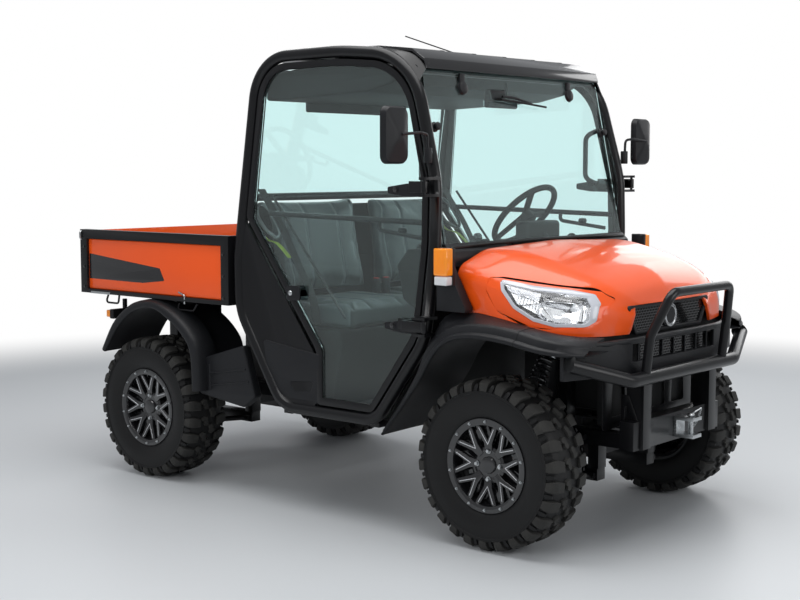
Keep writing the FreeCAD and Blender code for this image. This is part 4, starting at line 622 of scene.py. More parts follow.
softbox("overhead", (0.4, -0.6, 4.6), (0.1, 0, 0.8), (5.0, 3.6), 190)
near_side = softbox("near_side", (0.6, -5.6, 2.4), (-0.1, 0, 0.7), (4.6, 2.2), 105)
near_side.visible_glossy = False
softbox("front", (5.6, 0.6, 2.2), (0.6, 0, 0.7), (3.2, 2.2), 60)
softbox("behind", (-4.0, 2.6, 4.4), (-0.4, 0, 0.9), (2.6, 1.6), 50)
softbox("far_side", (0.3, 5.2, 2.6), (0, 0, 0.8), (4.0, 2.0), 60)
print("lights", len(bpy.data.lights))

# %% [markdown]
# ## Wheels
# Each tyre is a mud tyre: a carcass turned from one profile and three kinds of lug repeated around
# it. The real lugs are moulded in one piece with the casing. Here Geometry Nodes repeat one lug of
# a few dozen faces: the tree puts copies on a circle and makes them real.

# %% Geometry Nodes that repeat a part about an axle
def put_copies(tree, start, spot, turn):
    """Copies the group's mesh to numbered points and makes the copies real."""
    points = add(tree, "GeometryNodePoints", {"Count": start["Count"], "Position": spot})["Points"]
    copies = add(tree, "GeometryNodeInstanceOnPoints",
                 {"Points": points, "Instance": start["Geometry"], "Rotation": turn})["Instances"]
    real = add(tree, "GeometryNodeRealizeInstances", {"Geometry": copies})["Geometry"]
    add(tree, "NodeGroupOutput", {"Geometry": real})
    return tree


def ring_tree():
    tree, start = node_group("repeat_on_ring", "Geometry", {"Geometry": "Geometry", "Count": "Int"},
                             {"Geometry": "Geometry"})
    share = maths(tree, "DIVIDE", add(tree, "GeometryNodeInputIndex")["Index"], start["Count"])
    turn = add(tree, "FunctionNodeAxisAngleToRotation",
               {"Axis": (0, 1, 0), "Angle": maths(tree, "MULTIPLY", share, 2 * math.pi)})["Rotation"]
    return put_copies(tree, start, (0, 0, 0), turn)


def through_nodes(mesh, tree, **inputs):
    """Runs a mesh through a tree of Geometry Nodes and gives back the plain mesh."""
    holder = placed("holder", mesh)
    modifier = holder.modifiers.new("nodes", "NODES")
    modifier.node_group = tree
    for socket in tree.interface.items_tree:
        if socket.item_type == "SOCKET" and socket.in_out == "INPUT" and socket.name in inputs:
            modifier[socket.identifier] = inputs[socket.name]
    return baked(holder)


RING = ring_tree()


def ringed(mesh, count):
    return through_nodes(mesh, RING, Count=count)


# %% The tyre's casing and its lugs, about the Y axis with the outer side at -Y
TYRE_RADIUS = 0.339
LUGS = 26
PITCH = 2 * math.pi * TYRE_RADIUS / LUGS
LUG_TAPER = 0.86
TURN_STEPS = 104


def on_tyre(around, across, radius):
    """A place given by metres around the tread, metres across it and a radius."""
    angle = around / TYRE_RADIUS
    return radius * math.sin(angle), across, radius * math.cos(angle)


def casing():
    half = [(0.179, 0.080), (0.187, 0.097), (0.196, 0.104), (0.214, 0.1115), (0.236, 0.1165), (0.256, 0.118),
            (0.276, 0.1165), (0.2835, 0.1155), (0.286, 0.1175), (0.290, 0.1175), (0.2925, 0.114),
            (0.304, 0.109), (0.314, 0.100), (0.321, 0.085), (0.325, 0.06), (0.327, 0.03)]
    inner = [(0.186, 0.078), (0.24, 0.104), (0.30, 0.092), (0.31, 0.0), (0.30, -0.092), (0.24, -0.104),
             (0.186, -0.078), (0.179, -0.080)]
    outer = [(r, -y) for r, y in half] + [(0.3275, 0.0)] + half[::-1]
    return turned(RUBBER, outer + inner, steps=TURN_STEPS)


def centre_lug(side):
    """A slanted raised block with a waist; the tread's centre has two staggered rows of them."""
    shift = 0.25 * PITCH * (1 + side)
    outline = [(-0.022, 0.004), (-0.010, 0.002), (0.004, 0.010), (0.024, 0.012), (0.027, 0.026),
               (0.018, 0.042), (0.004, 0.044), (0.000, 0.030), (-0.014, 0.030), (-0.026, 0.018)]
    outline = [(side * a + shift, side * b) for a, b in outline]
    count = len(outline)
    mid_a, mid_b = (sum(values) / count for values in zip(*outline))
    points = []
    for radius, share in ((0.324, 1.0), (0.3363, (1 + LUG_TAPER) / 2), (0.3388, LUG_TAPER)):
        points += [on_tyre(mid_a + (a - mid_a) * share, mid_b + (b - mid_b) * share, radius)
                   for a, b in outline]
    ends = [tuple(range(2 * count, 3 * count)), tuple(reversed(range(count)))]
    return tidied(mesh_from(TREAD, points, quads(3, count) + ends))


def shoulder_lug(side):
    """The block that wraps over the tread's edge and runs down the side."""
    rows = []
    for radius, across, inner_radius, width, shift in (
            (0.3385, 0.052, 0.322, 0.020, 0.006), (0.3375, 0.084, 0.318, 0.024, 0.0),
            (0.334, 0.102, 0.313, 0.024, -0.001), (0.326, 0.1135, 0.308, 0.022, -0.001),
            (0.312, 0.1195, 0.300, 0.020, 0.0), (0.296, 0.1202, 0.290, 0.017, 0.001)):
        inner_across = across - 0.014 if across > 0.1 else across
        row = [on_tyre(shift + corner * width, side * (across - drop * 0.4), radius - drop)
               for corner, drop in ((-1.0, 0.0025), (-0.8, 0.0), (0.8, 0.0), (1.0, 0.0025))]
        row += [on_tyre(shift + corner * width, side * inner_across, inner_radius) for corner in (1.0, -1.0)]
        rows.append(row)
    mesh = skin(TREAD, rows, closed=True)
    with edited(mesh) as form:
        bmesh.ops.holes_fill(form, edges=form.edges, sides=8)
        bmesh.ops.recalc_face_normals(form, faces=form.faces)
    return mesh


def leaf_block(side):
    """The small pointed block on the side wall between two shoulder lugs."""
    points = []
    for radius, half, out in ((0.293, 0.006, 0.1175), (0.302, 0.0085, 0.1165), (0.314, 0.009, 0.111),
                              (0.322, 0.006, 0.104)):
        points += [on_tyre(PITCH / 2 + corner * half, side * (out - depth), radius)
                   for corner, depth in ((-1, 0.0), (1, 0.0), (1, 0.008), (-1, 0.008))]
    return tidied(mesh_from(RUBBER, points, [(0, 1, 2, 3), (15, 14, 13, 12)] + quads(4, 4)))


def tyre_mesh():
    parts = [casing()]
    for side in (-1, 1):
        parts += [ringed(make(side), LUGS) for make in (shoulder_lug, leaf_block, centre_lug)]
        rib = [(0.2885, 0.1150), (0.2905, 0.1196), (0.2935, 0.1196), (0.2955, 0.1140)]
        parts.append(turned(RUBBER, [(radius, side * across) for radius, across in rib], steps=TURN_STEPS))
    return joined("tyre", parts)


TYRE = tyre_mesh()
print("tyre triangles", triangles(TYRE))

# %% [markdown]
# ## Rims
# The rim is a gloss black casting with eight V-shaped spokes whose faces have a bright milled line,
# a beaded lip with fourteen bolts and a plain cap. One spoke is drawn flat, given thickness and
# repeated about the axle.

# %% The rim, about the Y axis with its face at -Y
SPOKES = 8


def leaned(mesh):
    """Bends a flat spoke outwards, more towards the lip."""
    for vert in mesh.vertices:
        vert.co.y -= 0.016 * max(math.hypot(vert.co.x, vert.co.z) - 0.06, 0.0) / 0.09
    return mesh


def bolt_head(look, radius, height, at=(0, 0, 0), sides=6):
    """A flanged screw head that points to -Y."""
    x, y, z = at
    seat = y - height * 0.3
    washer = turned(look, [(0, y), (0, seat), (radius * 1.35, seat), (radius * 1.35, y), (0, y)], steps=14)
    head = turned(look, [(0, seat), (0, y - height), (radius * 0.86, y - height),
                         (radius, y - height * 0.85), (radius, seat)], steps=sides)
    both = joined("bolt", [washer, head])
    both.transform(Matrix.Translation((x, 0, z)))
    return both


def rim_mesh():
    barrel = [(0.178, 0.100), (0.187, 0.098), (0.188, 0.092), (0.180, 0.088), (0.168, 0.080), (0.152, 0.060),
              (0.150, 0.0), (0.158, -0.040), (0.168, -0.070), (0.171, -0.082), (0.176, -0.088),
              (0.186, -0.092), (0.189, -0.098), (0.186, -0.1035), (0.168, -0.1045), (0.160, -0.101),
              (0.157, -0.094), (0.152, -0.070), (0.146, -0.040), (0.140, 0.0), (0.142, 0.062),
              (0.158, 0.085), (0.168, 0.096), (0.178, 0.100)]
    hub = [(0.0, -0.030), (0.070, -0.030), (0.074, -0.052), (0.072, -0.074), (0.060, -0.080),
           (0.050, -0.0775), (0.040, -0.0775), (0.0, -0.0775)]
    cap = [(0.0, -0.070), (0.033, -0.070), (0.034, -0.082), (0.031, -0.0865), (0.024, -0.0880),
           (0.0, -0.0885)]
    web = [(0.055, -0.045), (0.150, -0.050), (0.152, -0.040), (0.055, -0.030), (0.055, -0.045)]
    parts = [turned(look, profile, steps=steps) for look, profile, steps in (
        (RIM_BLACK, barrel, 88), (RIM_BLACK, hub, 48), (GLOSS_BLACK, cap, 40), (RIM_BLACK, web, 64))]
    vent = [(-0.012, 0.105, 0.006), (0.012, 0.105, 0.006), (0.020, 0.135, 0.006), (-0.020, 0.135, 0.006)]
    vents = ringed(panel(RIM_BLACK, [vent], 0.003, 0.0008, -0.0505), SPOKES)
    vents.transform(Matrix.Rotation(math.pi / SPOKES, 4, "Y"))
    spoke = [(-0.014, 0.050), (0.014, 0.050), (0.020, 0.088), (0.047, 0.142), (0.050, 0.152), (0.036, 0.156),
             (0.026, 0.150), (0.0, 0.100), (-0.026, 0.150), (-0.036, 0.156), (-0.050, 0.152),
             (-0.047, 0.142), (-0.020, 0.088)]
    parts += [vents, ringed(leaned(panel(RIM_BLACK, [spoke], 0.022, 0.003, -0.070)), SPOKES),
              ringed(bolt_head(ZINC, 0.008, 0.012, (0.0, -0.078, 0.056)), 4),
              ringed(bolt_head(ZINC, 0.0042, 0.007, (0.0, -0.1042, 0.1745)), 14)]
    for side in (-1, 1):
        accent = [(0.0, 0.0865), (0.0, 0.0800), (side * 0.0372, 0.1462), (side * 0.0342, 0.1478)][::side]
        parts.append(ringed(leaned(panel(MILLED, [accent], 0.002, 0.0006, -0.0815)), SPOKES))
    return joined("rim", parts)


RIM = rim_mesh()
for end in ("front", "rear"):
    for side in ("left", "right"):
        low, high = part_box(f"tyre_{end}_{side}")
        place = Matrix.Translation((low + high) / 2)
        if side == "left":
            place = place @ Matrix.Rotation(math.pi, 4, "Z")
        for part, source, slot in (("tyre", TYRE, "tyre_rubber"), ("rim", RIM, "rim_black")):
            mesh = source.copy()
            mesh.transform(place)
            item = piece(f"{part}_dressed_{end}_{side}", [mesh], f"wheel_{end}_{side}", 32)
            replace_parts(item, f"{part}_{end}_{side}")
print("rim triangles", triangles(RIM))

# %% [markdown]
# ## Hood, lamps and grille
# The hood is one orange moulding with soft creases over each front wheel. A copy of the packed
# solid with its edges broken becomes the painted skin, and the lamps lie flush in it. To put
# anything on the skin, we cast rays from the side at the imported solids.

# %% The hood's skin and the places on it
HOOD_TREE = ray_tree(*(frame["nodes"][node].data for node in ("hood_shell", "headlamps")))
hood = modified(solid_copy(ORANGE, "hood_shell"), "BEVEL", width=0.0022, segments=2,
                angle_limit=math.radians(40))
hood_item = piece("hood_skin", [hood], "hood", 40)
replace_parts(hood_item, "hood_shell")


def on_skin(x, z, side, inwards=0.0):
    """A place on the hood's or lamp's outer skin, seen from the side."""
    hit, normal, _, _ = HOOD_TREE.ray_cast(Vector((x, side * 1.0, z)), Vector((0, -side, 0)))
    if hit is None:
        return None
    outwards = 1 if normal.y * side > 0 else -1
    return hit - normal.normalized() * inwards * outwards


# %% [markdown]
# The headlamp is a clear cover let in flush with the hood, with a broad frosted band round it. Behind
# it stand a silver tail, one large chromed bowl, a dark strip above it and a slim upright lamp in
# front. Each is a loop of places in the side view, cast on the skin and set back by a depth.

# %% Headlamps
LAMP_HOLE = [(0.958, 1.058), (0.953, 1.014), (1.004, 0.942), (1.098, 0.898), (1.198, 0.881), (1.316, 0.886),
             (1.357, 0.910), (1.362, 0.978), (1.318, 1.020), (1.140, 1.043), (1.005, 1.060)]
LAMP_OUTLINE = [(1.002, 1.060), (1.020, 1.016), (1.076, 0.950), (1.164, 0.905), (1.247, 0.886),
                (1.338, 0.884), (1.358, 0.908), (1.355, 0.970), (1.326, 1.008), (1.262, 1.026),
                (1.140, 1.040), (1.036, 1.056)]
LAMP_LOOP = round_loop([(x, z, 0.026) for x, z in LAMP_OUTLINE], 4)
BOWL_LOOP = round_loop([(1.190, 0.990, 0.022), (1.184, 0.950, 0.02), (1.228, 0.900, 0.022),
                        (1.318, 0.896, 0.016), (1.324, 0.950, 0.02), (1.305, 0.984, 0.018)], 4)
SLIM_LOOP = round_loop([(1.334, 0.900, 0.006), (1.347, 0.902, 0.006), (1.346, 0.965, 0.006),
                        (1.331, 0.982, 0.006)], 3)
LAP = 0.055
DISH_START = 0.016


def set_in(loop, amount):
    """A loop drawn in by a distance, point by point."""
    count = len(loop)
    area = sum(x0 * z1 - x1 * z0 for (x0, z0), (x1, z1) in zip(loop, loop[1:] + loop[:1]))
    reach = amount if area > 0 else -amount
    result = []
    for i, (x, z) in enumerate(loop):
        (x0, z0), (x1, z1) = loop[i - 2], loop[(i + 2) % count]
        length = math.hypot(x1 - x0, z1 - z0) or 1.0
        result.append((x - (z1 - z0) / length * reach, z + (x1 - x0) / length * reach))
    return result


def middle_of(loop):
    return [sum(values) / len(loop) for values in zip(*loop)]


def out_to(hole, loop):
    """Each point of a loop carried outwards from the middle, past an outer outline."""
    mid_x, mid_z = middle_of(loop)
    result = []
    for x, z in loop:
        way = (x - mid_x, z - mid_z)
        best = 1.0
        for (x0, z0), (x1, z1) in zip(hole[-1:] + hole[:-1], hole):
            cross = way[0] * (z1 - z0) - way[1] * (x1 - x0)
            if abs(cross) < 1e-9:
                continue
            reach = ((x0 - mid_x) * (z1 - z0) - (z0 - mid_z) * (x1 - x0)) / cross
            along = ((x0 - mid_x) * way[1] - (z0 - mid_z) * way[0]) / cross
            if reach > 0 and -1e-6 <= along <= 1 + 1e-6:
                best = reach
        best = max(best + LAP, 1.0)
        result.append((mid_x + way[0] * best, mid_z + way[1] * best))
    return result


def cast_row(loop, side, inwards):
    """A loop of side-view places put on the skin; a place that misses takes its neighbour's."""
    row = []
    for x, z in loop:
        spot = on_skin(x, z, side, inwards)
        row.append(spot if spot is not None else row[-1])
    return row


def collar(loop, side, *steps):
    """Rows on the skin for (how far drawn in, how deep) steps of one loop."""
    return [cast_row(set_in(loop, inset), side, depth) for inset, depth in steps]


def bands(look, rows, side, cap=False):
    """A strip through closed rows that faces its side, capped at its last row if asked."""
    mesh = skin(look, rows, closed=True)
    if cap:
        size = len(rows[0])
        base = (len(rows) - 1) * size
        with edited(mesh) as form:
            middle = form.verts.new(sum(rows[-1], Vector()) / size)
            form.verts.ensure_lookup_table()
            for k in range(size):
                form.faces.new((form.verts[base + k], form.verts[base + (k + 1) % size], middle))
    return faced(mesh, side) if side else mesh


def dish(loop, side, depth):
    """A chromed bowl sunk from a loop: a bright rim and a wall that closes in steps."""
    width = max(z for _, z in loop) - min(z for _, z in loop)
    wall = [(width * inset, DISH_START + depth * share)
            for inset, share in ((0.10, 0.35), (0.2, 0.7), (0.32, 1.0))]
    rows = collar(loop, side, (-0.0035, DISH_START + 0.004), (-0.002, DISH_START), (0, DISH_START),
                  (0.0025, DISH_START + 0.004), *wall)
    return bands(CHROME, rows, side, cap=True)


FACETS = (
    (LAMP_SILVER, (1.03, 1.04, 0.006), (1.062, 1.010, 0.010), (1.180, 0.995, 0.018), (1.180, 1.018, 0.010)),
    (SILVER, (1.062, 1.010, 0.010), (1.092, 0.968, 0.012), (1.178, 0.930, 0.018), (1.180, 0.995, 0.018)),
    (RIM_BLACK, (1.092, 0.968, 0.012), (1.120, 0.940, 0.008), (1.205, 0.904, 0.010), (1.178, 0.930, 0.018)),
    (RIM_BLACK, (1.192, 1.006, 0.010), (1.196, 0.994, 0.014), (1.312, 0.986, 0.014), (1.322, 0.996, 0.010)),
)


def lamp(side):
    floor = collar(LAMP_LOOP, side, (0.017, 0.030), (0.030, 0.040))
    fill = [cast_row(out_to(LAMP_HOLE, LAMP_LOOP), side, 0.0007),
            *collar(LAMP_LOOP, side, (0, 0.0002), (0.003, 0.002))]
    frost = collar(LAMP_LOOP, side, (0, 0.0015), (0.002, -0.0012), (0.013, -0.0008), (0.0155, 0.003))
    parts = [bands(FROSTED, frost, side), bands(ORANGE, fill, side),
             bands(SILVER, [frost[-1], floor[0]], None), bands(LAMP_SILVER, floor, side, cap=True),
             dish(BOWL_LOOP, side, 0.036), dish(SLIM_LOOP, side, 0.014)]
    for look, *corners in FACETS:
        spots = [on_skin(x, z, side, depth) for x, z, depth in corners]
        parts.append(faced(mesh_from(look, spots, [tuple(range(len(spots)))]), side))
    for k in range(7):
        low = on_skin(1.085 + 0.013 * k, 0.972 - 0.004 * k, side, 0.0125)
        high = on_skin(1.095 + 0.0125 * k, 1.004 - 0.001 * k, side, 0.0125)
        parts.append(tube(LAMP_SILVER, [low, high], 0.0016, sides=6))
    return parts + [lamp_cover(set_in(LAMP_LOOP, 0.0145), side)]


def lamp_cover(loop, side):
    """The clear cover: rings of the loop drawn towards its middle, on the skin all the way."""
    mid_x, mid_z = middle_of(loop)
    rows = []
    for keep in (1.0, 0.8, 0.55, 0.3, 0.08):
        smaller = [(mid_x + (x - mid_x) * keep, mid_z + (z - mid_z) * keep) for x, z in loop]
        rows.append(cast_row(smaller, side, 0.0015))
    shell = tidied(bands(LAMP_GLASS, rows, side, cap=True), 1e-6, False)
    return modified(shell, "SOLIDIFY", thickness=0.0025, offset=-1.0)


lamps = stand_for("headlamps", lamp(-1) + lamp(1), 40)
print("lamp triangles", triangles(lamps.data))

# %% [markdown]
# The upper grille is a tapered black frame that holds fine expanded mesh. Geometry Nodes repeat one
# hexagonal ring over staggered rows. A plain ringed disc stands where a badge would be.

# %% Grille
def grid_tree():
    """Copies a mesh over staggered rows on the YZ plane."""
    tree, start = node_group("staggered_rows", "Geometry",
                             {"Geometry": "Geometry", "Across": "Int", "Count": "Int", "Pitch": "Float",
                              "Rise": "Float"}, {"Geometry": "Geometry"})
    index, across = add(tree, "GeometryNodeInputIndex")["Index"], start["Across"]
    row = maths(tree, "FLOOR", maths(tree, "DIVIDE", maths(tree, "ADD", index, 0.5), across))
    column = maths(tree, "SUBTRACT", index, maths(tree, "MULTIPLY", row, across))
    stagger = maths(tree, "MULTIPLY", maths(tree, "MODULO", row, 2.0), 0.5)
    spot = add(tree, "ShaderNodeCombineXYZ", {
        "Y": maths(tree, "MULTIPLY", maths(tree, "ADD", column, stagger), start["Pitch"]),
        "Z": maths(tree, "MULTIPLY", row, start["Rise"])})["Vector"]
    return put_copies(tree, start, spot, (0, 0, 0))


GRID = grid_tree()
CELL = 0.0125
ROW_RISE = 0.866
WIRE_DEPTH = 0.003


def hexagon_ring(inner, outer):
    """A six-sided ring for mesh, with its front at +X."""
    points, faces = [], []
    for k in range(6):
        angle = math.radians(60 * k + 30)
        points += [(x, radius * math.cos(angle), radius * math.sin(angle)) for radius, x in
                   ((inner, 0.0), (outer, 0.0), (outer, -WIRE_DEPTH), (inner, -WIRE_DEPTH))]
        m = (k + 1) % 6
        faces += [(k * 4 + a, k * 4 + b, m * 4 + b, m * 4 + a) for a, b in ((0, 1), (2, 3), (3, 0))]
    return tidied(mesh_from(GLOSS_BLACK, points, faces), 1e-7)


def mesh_field(low, high, at, keep):
    """Hexagonal mesh over a field, less the cells for which keep says no."""
    across = int((high[0] - low[0]) / CELL) + 1
    rows = int((high[1] - low[1]) / (CELL * ROW_RISE)) + 1
    field = through_nodes(hexagon_ring(CELL * 0.40, CELL * 0.5775), GRID, Across=across, Count=across * rows,
                          Pitch=CELL, Rise=CELL * ROW_RISE)
    field.transform(Matrix.Translation((at, low[0], low[1])))
    with edited(field) as form:
        gone = [f for f in form.faces if not keep(f.calc_center_median())]
        bmesh.ops.delete(form, geom=gone, context="FACES")
    return field


GRILLE_LOW, GRILLE_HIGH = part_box("grille")
FOOT_HALF, HEAD_HALF = 0.268, 0.335
FOOT_Z, HEAD_Z = GRILLE_LOW.z, GRILLE_HIGH.z
INSET = 0.014


def in_grille(spot):
    half = FOOT_HALF + (HEAD_HALF - FOOT_HALF) * (spot.z - FOOT_Z) / (HEAD_Z - FOOT_Z)
    return FOOT_Z + 0.01 < spot.z < HEAD_Z - 0.01 and abs(spot.y) < half - 0.010


def frame_loop(foot_half, head_half, inset, bend):
    return [(across, up, bend) for across, up in (
        (-foot_half, FOOT_Z + inset), (foot_half, FOOT_Z + inset), (head_half, HEAD_Z - inset),
        (-head_half, HEAD_Z - inset))]


def grille_parts():
    face_x = GRILLE_LOW.x + 0.016
    inner = (FOOT_HALF - INSET, HEAD_HALF - INSET * 1.3, INSET)
    badge = [(0.0, 0.018), (0.036, 0.018), (0.038, 0.0165), (0.041, 0.0165), (0.0425, 0.019),
             (0.0475, 0.019), (0.049, 0.016), (0.049, -0.004), (0.0, -0.004)]
    core = [(0.0, 0.0192), (0.033, 0.0192), (0.0345, 0.018), (0.0345, 0.010)]
    badge_at = (face_x - 0.001, 0, (FOOT_Z + HEAD_Z) / 2)
    return [panel(MOULDED, [frame_loop(FOOT_HALF, HEAD_HALF, 0, 0.012), frame_loop(*inner, 0.008)],
                  0.026, 0.004, face_x, "YZ"),
            mesh_field((-HEAD_HALF + 0.01, FOOT_Z + 0.012), (HEAD_HALF - 0.01, HEAD_Z - 0.012),
                       face_x + 0.004, in_grille),
            panel(CAB_PLASTIC, [frame_loop(*inner, 0.01)], 0.004, 0.001, face_x - 0.016, "YZ"),
            turned(SILVER, badge, "X", badge_at, 56), turned(MOULDED, core, "X", badge_at, 56)]


grille = piece("grille_dressed", grille_parts(), "hood", 35)
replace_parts(grille, "grille")
print("grille triangles", triangles(grille.data))

# %% [markdown]
# ## Steel and the chassis
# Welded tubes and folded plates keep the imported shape. A real edge is never a mathematical corner,
# so each copy has its corners rounded by a few millimetres, which is what catches the light.

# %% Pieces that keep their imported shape
PLAIN_DRESSING = {
    "chassis_frame": (TUBE_BLACK, 0.003), "engine_block": (CASTING, 0.012), "front_axle": (CASTING, 0.0),
    "rear_axle": (CASTING, 0.0), "tie_rods": (ZINC, 0.0), "knuckle_left": (CASTING, 0.002),
    "knuckle_right": (CASTING, 0.002), "floor_pan": (CAB_PLASTIC, 0.003), "seat_base": (CAB_PLASTIC, 0.012),
    "steering_wheel": (CAB_PLASTIC, 0.0), "cylinder_rod": (ZINC, 0.0), "cylinder_barrel": (TUBE_BLACK, 0.0),
    "antenna": (CAB_PLASTIC, 0.0), "windshield": (CAB_GLASS, 0.0), "rear_window": (CAB_GLASS, 0.0),
    "door_glass_left": (CAB_GLASS, 0.0), "door_glass_right": (CAB_GLASS, 0.0),
}
for node, (look, bevel) in PLAIN_DRESSING.items():
    dress(node, look, bevel)
print("plain pieces", len(PLAIN_DRESSING))

# %% [markdown]
# The struts carry coil springs. A coil is a circle swept along a helix, with a seat at each end.

# %% Springs on the struts
COIL_RADIUS, WIRE_RADIUS, COIL_TURNS, TURN_SIDES = 0.033, 0.0055, 7, 18
SPRING_SEAT = [(0.0, -0.004), (0.038, -0.004), (0.040, 0.0), (0.038, 0.004), (0.0, 0.004)]


def coil(foot, head):
    way = head - foot
    count = COIL_TURNS * TURN_SIDES
    angles = [2 * math.pi * COIL_TURNS * i / count for i in range(count + 1)]
    path = [Vector((COIL_RADIUS * math.cos(angle), COIL_RADIUS * math.sin(angle), way.length * i / count))
            for i, angle in enumerate(angles)]
    return tilted(swept(GLOSS_BLACK, path, circle(WIRE_RADIUS, 8)), way, foot)


def strut_line(node, side):
    """Foot and head of the strut on one side: the middles of its lowest and highest points."""
    points = [v.co for v in frame["nodes"][node].data.vertices if v.co.y * side > 0 and v.co.z > 0.45]
    top = max(p.z for p in points)
    ends = [[p for p in points if p.z < 0.50], [p for p in points if p.z > top - 0.04]]
    return [sum(group, Vector()) / len(group) for group in ends]


for node in ("front_suspension", "rear_suspension"):
    coils = []
    for side in (-1, 1):
        foot, head = strut_line(node, side)
        start, stop = foot.lerp(head, 0.52), foot.lerp(head, 0.93)
        coils.append(coil(start, stop))
        coils += [tilted(turned(ZINC, SPRING_SEAT, "Z", steps=32), head - foot, spot)
                  for spot in (start, stop)]
    dress(node, TUBE_BLACK, 0.0, coils)
    print(node, "strut", short(foot), short(head))

# %% [markdown]
# ## Fenders
# A fender is a thin black moulding: a liner over the wheel, a rolled lip, a short upright face, a
# crease and a shelf up to the body. Only the size of that section changes along the wheel arch, so
# each fender is one skin lofted from it at stations along the lip.

# %% Lofted fenders
def flare(stations, section, shelf):
    """Rows of places: at each station (x, z, size, shift, top x, top y, top z) the section stands
    outwards from the lip by its first number and across the vehicle at its second."""
    path = flowing(stations, 4)
    rows = []
    for i, (x, z, size, shift, *top) in enumerate(path):
        before, after = path[max(i - 1, 0)], path[min(i + 1, len(path) - 1)]
        way = Vector((after[0] - before[0], 0, after[1] - before[1])).normalized()
        out = Vector((-way.z, 0, way.x))
        row = [Vector((x, y - shift, z)) + out * rise * size for rise, y in section]
        rows.append(row + [row[-1].lerp(Vector(top), share) + out * bulge for share, bulge in shelf])
    return rows


def fender_shell(rows):
    mesh = faced(tidied(skin(MOULDED, rows), 1e-5, False), 1)
    return both_sides([modified(mesh, "SOLIDIFY", thickness=0.003, offset=-1.0)])


FENDER_SECTION = [(0.014, 0.44), (0.012, 0.60), (0.004, 0.766), (0.000, 0.781), (0.003, 0.787),
                  (0.010, 0.790), (0.017, 0.788), (0.022, 0.779), (0.025, 0.771), (0.047, 0.764),
                  (0.055, 0.757), (0.058, 0.747)]
FENDER_SHELF = ((0.25, 0.003), (0.5, 0.004), (0.78, 0.003), (1.0, 0.0), (1.0, -0.016))
FRONT_STATIONS = [
    (0.521, 0.402, 0.50, 0.0, 0.492, 0.715, 0.410), (0.620, 0.523, 0.60, 0.0, 0.590, 0.715, 0.548),
    (0.714, 0.645, 0.80, 0.0, 0.672, 0.712, 0.680), (0.766, 0.730, 1.0, 0.0, 0.715, 0.705, 0.795),
    (0.822, 0.793, 1.0, 0.0, 0.765, 0.685, 0.900), (0.896, 0.826, 1.0, 0.0, 0.880, 0.650, 0.930),
    (0.999, 0.836, 1.0, 0.0, 1.000, 0.645, 0.912), (1.135, 0.826, 1.0, 0.0, 1.140, 0.640, 0.884),
    (1.262, 0.805, 0.95, 0.002, 1.255, 0.632, 0.865), (1.330, 0.794, 0.85, 0.035, 1.320, 0.600, 0.856),
    (1.372, 0.786, 0.75, 0.090, 1.368, 0.550, 0.850), (1.392, 0.782, 0.7, 0.150, 1.392, 0.500, 0.846),
]
SEAM_X = 1.175
front_rows = flare(FRONT_STATIONS, FENDER_SECTION, FENDER_SHELF)
seam_row = min(front_rows, key=lambda row: abs(row[5].x - SEAM_X))
seam = tube(CAB_PLASTIC, [p + Vector((0, 0.0003, 0.0003)) for p in seam_row[3:-1]], 0.0013, sides=6)
stand_for("front_fenders", fender_shell(front_rows) + both_sides([seam]), 50)

FLARE_SECTION = [(0.012, 0.46), (0.010, 0.62), (0.003, 0.768), (0.000, 0.780), (0.003, 0.787),
                 (0.012, 0.790), (0.024, 0.789), (0.034, 0.783), (0.041, 0.770), (0.044, 0.752)]
FLARE_SHELF = ((0.4, 0.004), (1.0, 0.0), (1.0, -0.014))
REAR_STATIONS = [
    (-1.290, 0.590, 0.75, 0.0, -1.308, 0.670, 0.622), (-1.201, 0.705, 1.1, 0.0, -1.225, 0.670, 0.752),
    (-1.119, 0.775, 1.05, 0.0, -1.135, 0.670, 0.820), (-1.040, 0.8125, 1.0, 0.0, -1.050, 0.670, 0.852),
    (-0.923, 0.827, 0.8, 0.0, -0.920, 0.670, 0.860), (-0.800, 0.775, 1.05, 0.0, -0.770, 0.670, 0.812),
    (-0.704, 0.705, 1.1, 0.0, -0.664, 0.670, 0.738), (-0.659, 0.630, 1.05, 0.0, -0.613, 0.670, 0.642),
    (-0.649, 0.461, 1.05, 0.0, -0.602, 0.670, 0.461),
]
COVER_LOOP = [(-0.660, 0.606, 0.02), (-0.362, 0.693, 0.015), (-0.287, 0.463, 0.015), (-0.364, 0.408, 0.02),
              (-0.660, 0.442, 0.02)]
CREASES = ((-0.585, 0.545, -0.345, 0.585), (-0.575, 0.492, -0.325, 0.530), (-0.585, 0.585, -0.585, 0.470))
rear_rows = flare(REAR_STATIONS, FLARE_SECTION, FLARE_SHELF)
covers = [panel(MOULDED, [COVER_LOOP], 0.050, 0.010, -0.705, segments=3)]
covers += [tube(MOULDED, [(x0, -0.7285, z0), (x1, -0.7285, z1)], 0.0055, sides=10)
           for x0, z0, x1, z1 in CREASES]
stand_for("rear_fenders", fender_shell(rear_rows) + both_sides(covers), 50)
print("fender rows", len(front_rows), len(rear_rows))

# %% [markdown]
# ## Cowl, fascia and bumper
# The cowl and the lower nose are the same moulding material. The nose opening holds fine mesh over a
# dark sheet of painted shade that stands in for the shadow in the gap behind it, under a rounded lip
# as wide as the nose. The bumper tubes end in domed plugs.

# %% Nose and bumper
def outer_bar(look, points, radius, bend=0.04):
    """A bar from side to side of the vehicle, given as its left half from the middle outwards."""
    right = [(x, -y, z) for x, y, z in reversed(points)]
    return tube(look, right + points[1:], radius, bend, sides=16)


def oval(middle, half_long, half_wide, steps=10):
    """An oval outline with straight sides, long across the vehicle."""
    x, y = middle
    straight = half_long - half_wide
    ends = []
    for way in (1, -1):
        for angle in (math.pi * k / steps for k in range(steps + 1)):
            ends.append((x + way * half_wide * math.cos(angle),
                         y + way * (straight + half_wide * math.sin(angle))))
    return ends


